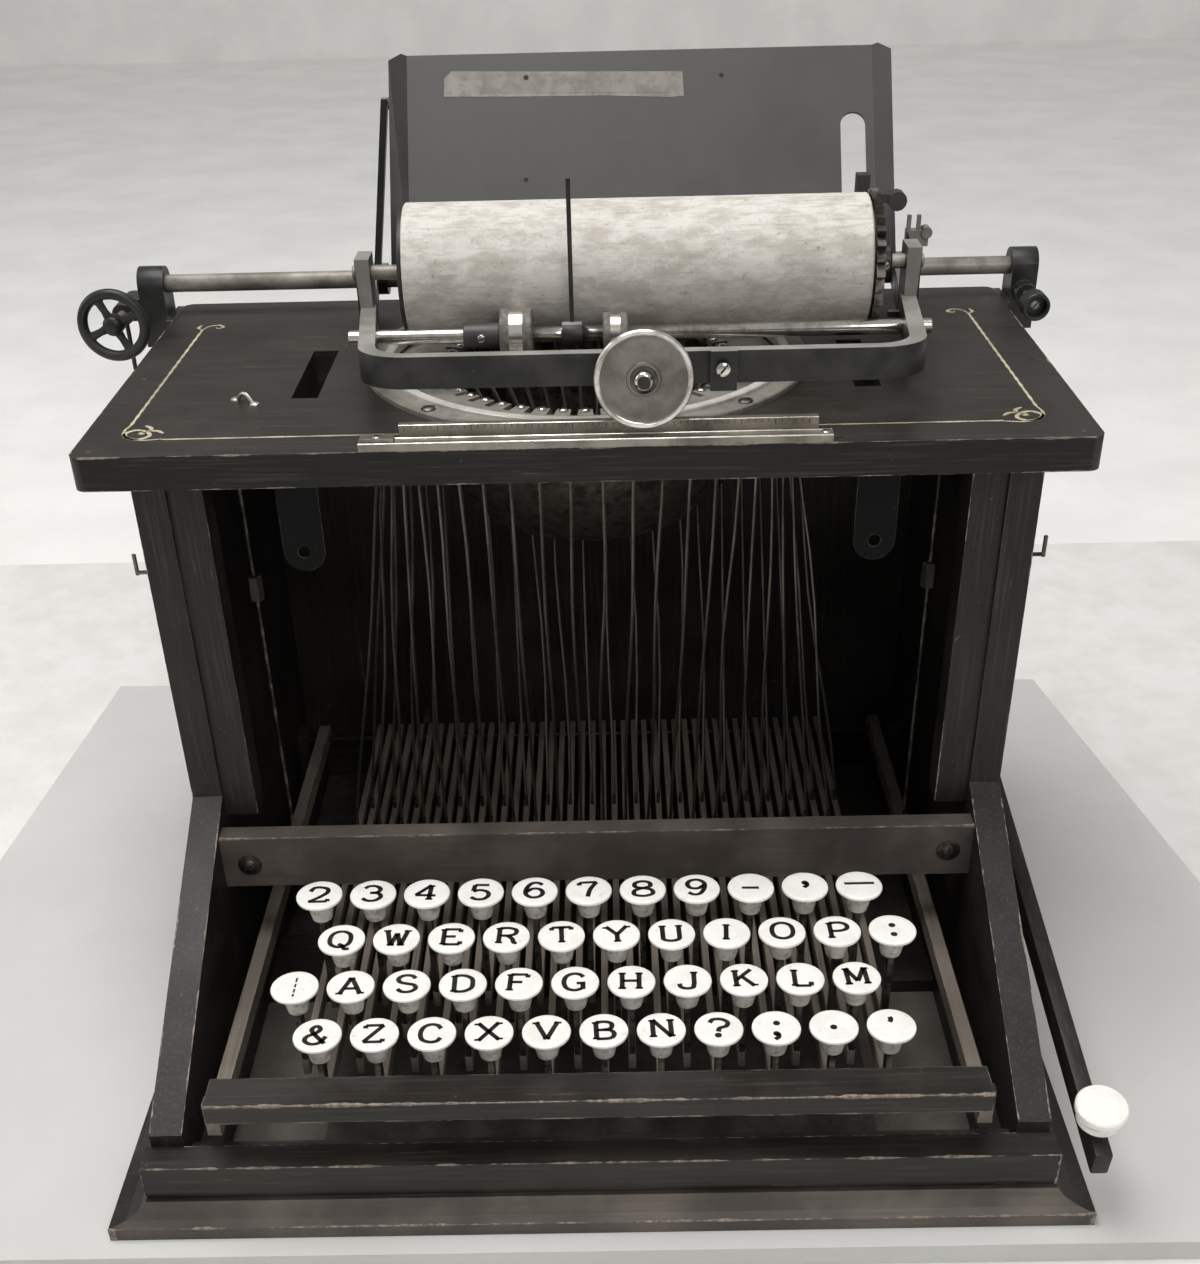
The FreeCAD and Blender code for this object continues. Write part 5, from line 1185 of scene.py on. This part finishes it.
# %% Return lever
LEVER_AT, LEVER_SLOPE = Vector((191.5, 70, 71)), math.radians(8.7)
LEVER_LONG, KNOB_ALONG, LEVER_TAIL = 254, 232, 8
DOUBLE_KNOB = [(4, 6), (3.6, 7.2), (4, 9), (7.6, 9.2), (8.4, 10), (8.4, 12.4), (7.8, 13), (4.6, 13.2),
               (4, 14), (4.4, 15), (9.2, 15.2), (10, 16), (10, 18.2), (9.4, 18.9), (7, 19), (0, 19)]
PIVOT_WASHER = [(3.2, 3.5), (6, 3.5), (6, 4.1), (5.6, 4.5), (3.2, 4.5)]


def build_return(bm):
    turn_down = Matrix.Translation(LEVER_AT) @ Matrix.Rotation(LEVER_SLOPE, 4, "X")

    def make(bm):
        slab(bm, (-3.5, -LEVER_LONG + LEVER_TAIL, -6), (3.5, LEVER_TAIL, 6), 1.2, 0)
        turned(bm, DOUBLE_KNOB, (0, -KNOB_ALONG, 0), segments=48, index=1)
        turned(bm, PIVOT_WASHER, (0, 0, 0), "X", 32, 2)
    oriented(bm, make, turn_down)


return_lever = piece("return_lever_dressed", build_return, [wood_deep, porcelain, dark_steel],
                     "return_lever")
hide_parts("return_lever")
print("return lever:", LEVER_LONG, "mm long")

# %% [markdown]
# ## Rubbed edges
# Hands, sleeves and dusters have rubbed the black off along the case's edges, in a broken line that
# is wide at the corners. A bevel would make an even line, so each edge gets a thin skin of bare wood,
# a few hundredths of a millimetre proud, whose width follows a slow random curve and drops to nothing.

# %% Worn skin along an edge
EDGE_STEP = 1.2
EDGE_PROUD = 0.03
SLOW_MM, QUICK_MM, CORNER_MM = 17, 3.1, 4
SEED_STEP = 7.3
NARROWEST, LEAST_WIDE = 0.03, 0.12
# Bare wood: a pale dull grey-brown line, the lightest thing on the black case.
bare_wood = wear_and_shade_patches("bare wood at an edge", "#5d544b", "#a4978a", 3, 0.35, 0.65, Roughness=0.7)


def worn_edge(bm, start, end, ways, widest, bias, seed):
    """A broken skin from start to end; ways point from the edge into its two faces."""
    start, end = Vector(start), Vector(end)
    first, second = (Vector(way).normalized() for way in ways)
    count = max(2, int((end - start).length / EDGE_STEP))
    rows = []
    for i in range(count + 1):
        at = start.lerp(end, i / count)
        slow = wander.noise(Vector((i * EDGE_STEP / SLOW_MM, seed * SEED_STEP, 0)))
        quick = wander.noise(Vector((i * EDGE_STEP / QUICK_MM, seed * SEED_STEP, 5)))
        close = min(i, count - i) * EDGE_STEP
        corner = 0.5 * math.exp(-close / CORNER_MM)
        row = [at - (first + second) * EDGE_PROUD]
        for way, other, share in ((first, second, 0.5), (second, first, -0.5)):
            wide = max(0, slow + 0.6 * quick + share * 0.3 * quick + bias + corner) * widest
            row.append(at + way * wide - other * EDGE_PROUD)
        row.append(slow + 0.6 * quick + bias + corner)
        rows.append(row)
    for a, b in zip(rows, rows[1:]):
        if a[3] < NARROWEST and b[3] < NARROWEST:
            continue
        for side in (1, 2):
            if (a[0] - a[side]).length + (b[0] - b[side]).length > LEAST_WIDE:
                bm.faces.new([bm.verts.new(p) for p in (a[0], b[0], b[side], a[side])])


print("the wear wanders over", SLOW_MM, "mm and flickers over", QUICK_MM, "mm")


# %% The edges that are rubbed
def mirrored(point):
    """A point or a direction on the other side of the case."""
    return (-point[0], *point[1:])


def both_sides(edges):
    """The edges, and the same ones mirrored to the other side of the case."""
    return edges + [(mirrored(start), mirrored(end), tuple(map(mirrored, ways)), widest, bias)
                    for start, end, ways, widest, bias in edges]


CHEEK_DOWN = (0, 0.466, -0.885)
# An edge: from, to, the ways into its two faces, the widest wear in millimetres, and how worn it is.
ACROSS = [((-191, -31, 269), (191, -31, 269), ((0, 1, 0), (0, 0, -1)), 0.9, 0.12),
          ((-191, -31, 255.5), (191, -31, 255.5), ((0, 1, 0), (0, 0, 1)), 0.7, -0.1),
          ((-179, -165, 31), (179, -165, 31), ((0, 1, 0), (0, 0, -1)), 1.0, 0.2),
          ((-164, -153, 31), (164, -153, 31), ((0, -1, 0), (0, 0, -1)), 0.6, 0.05),
          ((-194, -173, 6), (194, -173, 6), ((0, 0.55, 0.83), (0, 0, -1)), 0.9, 0.25),
          ((-164, -36, 97), (164, -36, 97), ((0, 1, 0), (0, 0, -1)), 0.9, 0.15),
          ((-164, -36, 71.5), (164, -36, 71.5), ((0, 1, 0), (0, 0, 1)), 0.5, -0.1)]
SIDEWAYS = both_sides([
    ((-195, -27, 269), (-195, 166, 269), ((1, 0, 0), (0, 0, -1)), 0.9, 0.05),
    ((-179, -165, 15), (-179, -165, 31), ((1, 0, 0), (0, 1, 0)), 1.2, 0.3),
    ((-194, -173, 0.3), (-194, -173, 6), ((1, 0, 0), (0, 1, 0)), 1.8, 0.8),
    ((-194, -173, 6), (-194, 160, 6), ((0.55, 0, 0.83), (0, 0, -1)), 0.9, 0.1),
    ((-177, -152, 37.5), (-177, -26, 104), ((1, 0, 0), CHEEK_DOWN), 0.9, 0.1),
    ((-164, -152, 37.5), (-164, -26, 104), ((-1, 0, 0), CHEEK_DOWN), 0.9, 0.1),
    ((-177, -19, 109), (-177, -19, 255), ((1, 0, 0), (0, 1, 0)), 0.7, 0.0),
    ((-150, -17, 98), (-150, -17, 255), ((-1, 0, 0), (0, 1, 0)), 0.6, -0.1)])


def build_worn(bm):
    for seed, (start, end, ways, widest, bias) in enumerate(ACROSS + SIDEWAYS):
        worn_edge(bm, start, end, ways, widest, bias, seed)


def build_worn_bar(bm):
    worn_edge(bm, (-150, -163, 62), (150, -163, 62), ((0, 1, 0), (0, 0, -1)), 1.3, 0.4, 31)
    worn_edge(bm, (-150, -163, 53), (150, -163, 53), ((0, 1, 0), (0, 0, 1)), 0.8, 0.0, 32)


piece("worn_edges", build_worn, [bare_wood], "frame", False)
piece("worn_bar_edges", build_worn_bar, [bare_wood], "space_bar", False)
print("rubbed edges:", len(ACROSS + SIDEWAYS) + 2)

# %% [markdown]
# ## Shade sheet under the levers
# A thin dark sheet closes the case under the levers; it is painted shade for the well, and toward
# the front sides it is paler and greyer, as the shaded table below. It could be one sheet with a
# painted mask, but plain slabs side by side, two of them paler, do it with less.

# %% Shade sheet under the levers
BOTTOM_LOW, BOTTOM_TOP = 1.2, 3.0
BOTTOM_MIDDLE, BOTTOM_SIDE = 116, 183
BOTTOM_FRONT, BOTTOM_SPLIT, BOTTOM_BACK = -160, -20, 176
# Painted shade: a dark matt sheet, so the well stays dim; at the front sides it is paler and greyer, as the
# shaded table seen below.
well_shade = wear_and_shade_patches("stained bottom board", "#2b2824", "#4d4740", 30, 0.35, 0.7, Roughness=0.8)
side_shade = wear_and_shade_patches("painted shade at the sides of the well", "#4e4943", "#615b53", 25, 0.35, 0.7, Roughness=0.85)


def build_bottom(bm):
    slab(bm, (-BOTTOM_MIDDLE, BOTTOM_FRONT, BOTTOM_LOW), (BOTTOM_MIDDLE, BOTTOM_BACK, BOTTOM_TOP), 0, 0)
    for side in (-1, 1):
        near, far = sorted((side * BOTTOM_MIDDLE, side * BOTTOM_SIDE))
        slab(bm, (near, BOTTOM_FRONT, BOTTOM_LOW), (far, BOTTOM_SPLIT, BOTTOM_TOP), 0, 1)
        slab(bm, (near, BOTTOM_SPLIT, BOTTOM_LOW), (far, BOTTOM_BACK, BOTTOM_TOP), 0, 0)


piece("bottom_board", build_bottom, [well_shade, side_shade], "frame", False)
print("bottom board:", 2 * BOTTOM_SIDE, "by", BOTTOM_BACK - BOTTOM_FRONT, "mm")

# %% [markdown]
# ## Small parts on the case
# A machine like this carries a good many small parts: painted lines, screws, nails, a staple for the
# ribbon, a rule with its graduations, a label. Each is a low shape of its own on the face that carries
# it, so that light catches it as it does on the real one.
#
# The top board is lined in pale paint along three sides, with a scroll in each front corner. It could
# be an image on the board, but a ribbon keeps its edge sharp, and its width can swell as a brush does.

# %% Striping paint
FADE_MM = 2.2


def old_paint():
    """Pale striping paint, worn thin in places, so the black board shows through it."""
    material, tree, shader = start_material("worn striping paint", Roughness=0.6)
    tint = layer(tree, srgb("#c2b79e"), srgb("#a1977f"), pattern(tree, 20, 3), 0.35, 0.65)
    coat = layer(tree, tint, srgb("#3b3631"), pattern(tree, FADE_MM, 5, 0.75), 0.54, 0.68, 0.8)
    finish(tree, shader, coat)
    return material


# Striping: a buff line without gloss, gone in small flakes.
striping = old_paint()
print("striping flakes:", FADE_MM, "mm")

# %% Painted lines on the top board
BOARD_TOP = 269.0
LINE_LIFT = 0.06
LINE_WIDE = 1.35
LEFT, RIGHT, FRONT, BACK = -179, 176.5, -12.5, 128
CORNER_REACH = 16
# Each corner has a scroll: an S that curls in at both ends, with a leaf beside it.
SCROLL = ["0,16 -1,9 1,3 6,0 10,3 9,7 6,7 5.5,5", "16,0 9,-1 3,1 0,6 3,10 7,9 7,6 5,5.5",
          "8,9 12,9 15,6", "9,8 9,12 6,15"]
FLOURISH = ["0,0 2,5 6,7 9,4 7,2 5.5,3.5", "0,0 -2.5,3 -1.5,7"]


def on_board(point):
    return Vector((point.x, point.y, BOARD_TOP + LINE_LIFT))


def flat_path(text):
    return [Vector(tuple(map(float, pair.split(",")))) for pair in text.split()]


def curl(bm, text, corner, way, thin, swell):
    """A curl from a corner, mirrored where way is -1; it swells from thin to thin + swell and back."""
    path = smooth_path([Vector((corner[0] + p.x * way, corner[1] + p.y)) for p in flat_path(text)], 8)
    ribbon(bm, path, lambda d, i: thin + swell * math.sin(math.pi * i / len(path)), on_board)


def build_lines(bm):
    straight = [((LEFT, FRONT + CORNER_REACH), (LEFT + 1.5, BACK)),
                ((RIGHT, FRONT + CORNER_REACH), (RIGHT - 1.5, BACK)),
                ((LEFT + CORNER_REACH, FRONT - 0.6), (RIGHT - CORNER_REACH, FRONT + 0.6))]
    for start, end in straight:
        start, end = Vector(start), Vector(end)
        path = [start.lerp(end, i / 60) for i in range(61)]
        ribbon(bm, path, lambda way, i: LINE_WIDE * (0.85 + 0.25 * math.sin(i * 1.7)), on_board)
    for x, way in ((LEFT, 1), (RIGHT, -1)):
        for text in SCROLL:
            curl(bm, text, (x, FRONT), way, 0.7, 1.0)
        for text in FLOURISH:
            curl(bm, text, (x + 1.5 * way, BACK), way, 0.4, 0.9)


lines = piece("striping", build_lines, [striping], "frame", False)
print("striping:", len(lines.data.polygons), "faces")

# %% [markdown]
# ### Screws, nails and the rule
# Nails hold the top board, slotted screws on washers hold the rail, and a bent staple guides the
# ribbon. The rule is a steel strip with scribed lines. A bump could draw them, but they are few, and
# real shapes catch the light from each side.

# %% Nails, screws and the ribbon staple
NAILS = [(-188, -24), (-60, -27), (96, -27), (188, -24), (-188, 60), (188, 60), (-188, 150),
         (188, 150), (-150, 165), (150, 165)]
LEDGE_NAILS = [(-30.1, -147.4, 23), (-22, -147.4, 23)]
NAIL = [(1.5, 0), (1.4, 0.15), (0.8, 0.3), (0, 0.34)]
LEDGE_NAIL = [(1.7, 0), (1.6, 0.2), (0.9, 0.45), (0, 0.5)]
STAPLE_SCREW = [(2.1, 0), (2, 0.5), (1.2, 1), (0, 1.1)]
RAIL_SCREWS = [(-152.2, -36, 83), (153.9, -36, 84)]
STAPLE = Vector((-138.5, 27.5, BOARD_TOP))


def build_fasteners(bm):
    for x, y in NAILS:
        turned(bm, NAIL, (x, y, BOARD_TOP), segments=14, index=0)
    for i, at in enumerate(RAIL_SCREWS):
        screw(bm, at, (0, -1, 0), 3.1, 1.2, 0.6 + i, 0, 1, 5.2)
    for dx, dy in ((-4.6, 3.2), (4.4, -3)):
        foot = STAPLE + Vector((dx, dy, 0))
        turned(bm, STAPLE_SCREW, foot, segments=16, index=2)
    loop = [STAPLE + Vector((-3.6 + 7.2 * t, 2.6 - 5.2 * t, 0.4 + 3.2 * math.sin(math.pi * t)))
            for t in (i / 10 for i in range(11))]
    tube(bm, loop, 0.8, 8, 2)
    for at in LEDGE_NAILS:
        turned(bm, LEDGE_NAIL, at, segments=14, index=2)


piece("fasteners", build_fasteners, [dark_steel, shadow, steel], "frame")
print("nails:", len(NAILS + LEDGE_NAILS), "rail screws:", len(RAIL_SCREWS))

# %% Rule graduations
RULE_LEFT, RULE_RIGHT = -70, 88
RULE_FACE, RULE_HIGH = -24, 276.5
PITCH = 2.54
LONG_MARK, SHORT_MARK, HALF_MARK = 2.0, 1.1, 0.12
# Thin bright rods along the rule's two front edges and the top of its face are painted highlight lines.
RULE_GLINTS = [((-84.8, -30.9, 272), (92.8, -30.9, 272), 0.28),
              ((-84.8, -25.6, 272.1), (92.8, -25.6, 272.1), 0.3),
              ((RULE_LEFT, RULE_FACE, RULE_HIGH), (RULE_RIGHT, RULE_FACE, RULE_HIGH), 0.18)]


def build_rule(bm):
    count = int((RULE_RIGHT - RULE_LEFT - 4) / PITCH)
    for i in range(count + 1):
        x = RULE_LEFT + 2 + i * PITCH
        long = SHORT_MARK if i % 5 else LONG_MARK
        slab(bm, (x - HALF_MARK, RULE_FACE - 0.04, RULE_HIGH - 0.4 - long),
             (x + HALF_MARK, RULE_FACE + 0.1, RULE_HIGH - 0.4), 0, 0)
    for start, end, radius in RULE_GLINTS:
        tube(bm, [start, end], radius, 6, 1)
    slab(bm, (-84.5, -30.2, 272), (-71.5, -24.5, 273.6), 0.4, 2)
    for x in (-78, 90.5):
        screw(bm, (x, -27.5, 273.4 if x < 0 else 272), (0, 0, 1), 1.9, 0.8, 0.4, 1, 0)


piece("rule_marks", build_rule, [shadow, bright_steel, rule_steel], "frame", False)
print("rule: a mark each", PITCH, "mm")

# %% [markdown]
# ### Label and holes
# The paper table leans back and carries an old label of two layers, torn and browned, and a few
# punched holes. The label could be an image, but thin plates with their own outline show its torn
# edge. The holes are low collars round a dark disc of painted shade, since they are too small to cut.

# %% Places on the paper table
TABLE_FOOT, TABLE_LEAN = Vector((0, 104, 298)), math.radians(35)
TABLE_UP = Vector((0, math.sin(TABLE_LEAN), math.cos(TABLE_LEAN)))
TABLE_OUT = Vector((0, -math.cos(TABLE_LEAN), math.sin(TABLE_LEAN)))


def on_table(x, s, out=0.0):
    """A place x from the middle, s up the slope and out from the face."""
    return TABLE_FOOT + Vector((x, 0, 0)) + TABLE_UP * s + TABLE_OUT * out


def sheet_on_table(bm, corners, thick, index):
    """A thin plate on the table's face, from its corners in (x, up the slope)."""
    low = [bm.verts.new(on_table(x, s, 0)) for x, s in corners]
    high = [bm.verts.new(on_table(x, s, thick)) for x, s in corners]
    bm.faces.new(high).material_index = index
    for i in range(len(corners)):
        j = (i + 1) % len(corners)
        bm.faces.new((low[i], low[j], high[j], high[i])).material_index = index


print("the table leans", round(math.degrees(TABLE_LEAN)), "degrees")


# %% Paper table: label and holes
def faded_label(name, light, dark):
    """A blank paper label, browned and rubbed."""
    material, tree, shader = start_material(name, Roughness=0.75)
    tint = layer(tree, srgb(light), srgb(dark), pattern(tree, 9, 6, 0.7), 0.4, 0.62)
    rubbed = pattern(tree, 2, 5, 0.75, stretch=(0.4, 1, 1))
    finish(tree, shader, layer(tree, tint, srgb("#5d5952"), rubbed, 0.58, 0.7, 0.7))
    return material


LABEL_UNDER = [(-60.4, 78.4), (-60.2, 86.2), (-57, 89.6), (-20, 88.6), (44.2, 87.2), (44.6, 76.3),
               (38, 75.9), (10, 77.3), (-30, 77.7)]
LABEL_UPPER = [(-44, 79.6), (-43.6, 88.3), (38, 86.6), (38.2, 77.8)]
HOLES = [(-24.3, 86, 0.2), (61.1, 85.2, 0), (-25.1, 40.9, 0), (46.9, 31.7, 0)]


def build_label(bm):
    sheet_on_table(bm, LABEL_UNDER, 0.12, 0)
    sheet_on_table(bm, LABEL_UPPER, 0.2, 1)


def build_holes(bm):
    for x, s, out in HOLES:
        oriented(bm, lambda b: turned(b, [(1.25, 0), (1.15, 0.1), (0.9, 0.12)], (0, 0, 0),
                                      segments=20, index=0), facing(on_table(x, s, out), TABLE_OUT))
        # The dark disc inside each collar is painted shade for the hole.
        oriented(bm, lambda b: turned(b, [(0.9, 0.1), (0, 0.1)], (0, 0, 0),
                                      segments=20, index=1), facing(on_table(x, s, out), TABLE_OUT))


# Label paper: matt grey-brown, a little darker on its upper layer, with fibres rubbed up.
label_under = faded_label("browned label paper", "#8d8880", "#77726b")
label_upper = faded_label("label paper, upper layer", "#87827a", "#726d66")
piece("table_label", build_label, [label_under, label_upper], "carriage", False)
piece("table_holes", build_holes, [sheet_paint, shadow], "carriage")
print("holes in the table:", len(HOLES))

# %% [markdown]
# ### Block screw
# One slotted screw stands on the block of the yoke's front bar. It is its own piece, because it rides
# on the carriage, and the other screws on the case do not.

# %% Screw on the carriage
BLOCK_SCREW = (51.9, -20.9, 294.1)


def build_carriage_screws(bm):
    screw(bm, BLOCK_SCREW, (0, -1, 0), 2.7, 1.0, 0.9, 0, 1)


piece("carriage_screws", build_carriage_screws, [bright_steel, shadow], "carriage")
print("block screw at", BLOCK_SCREW)
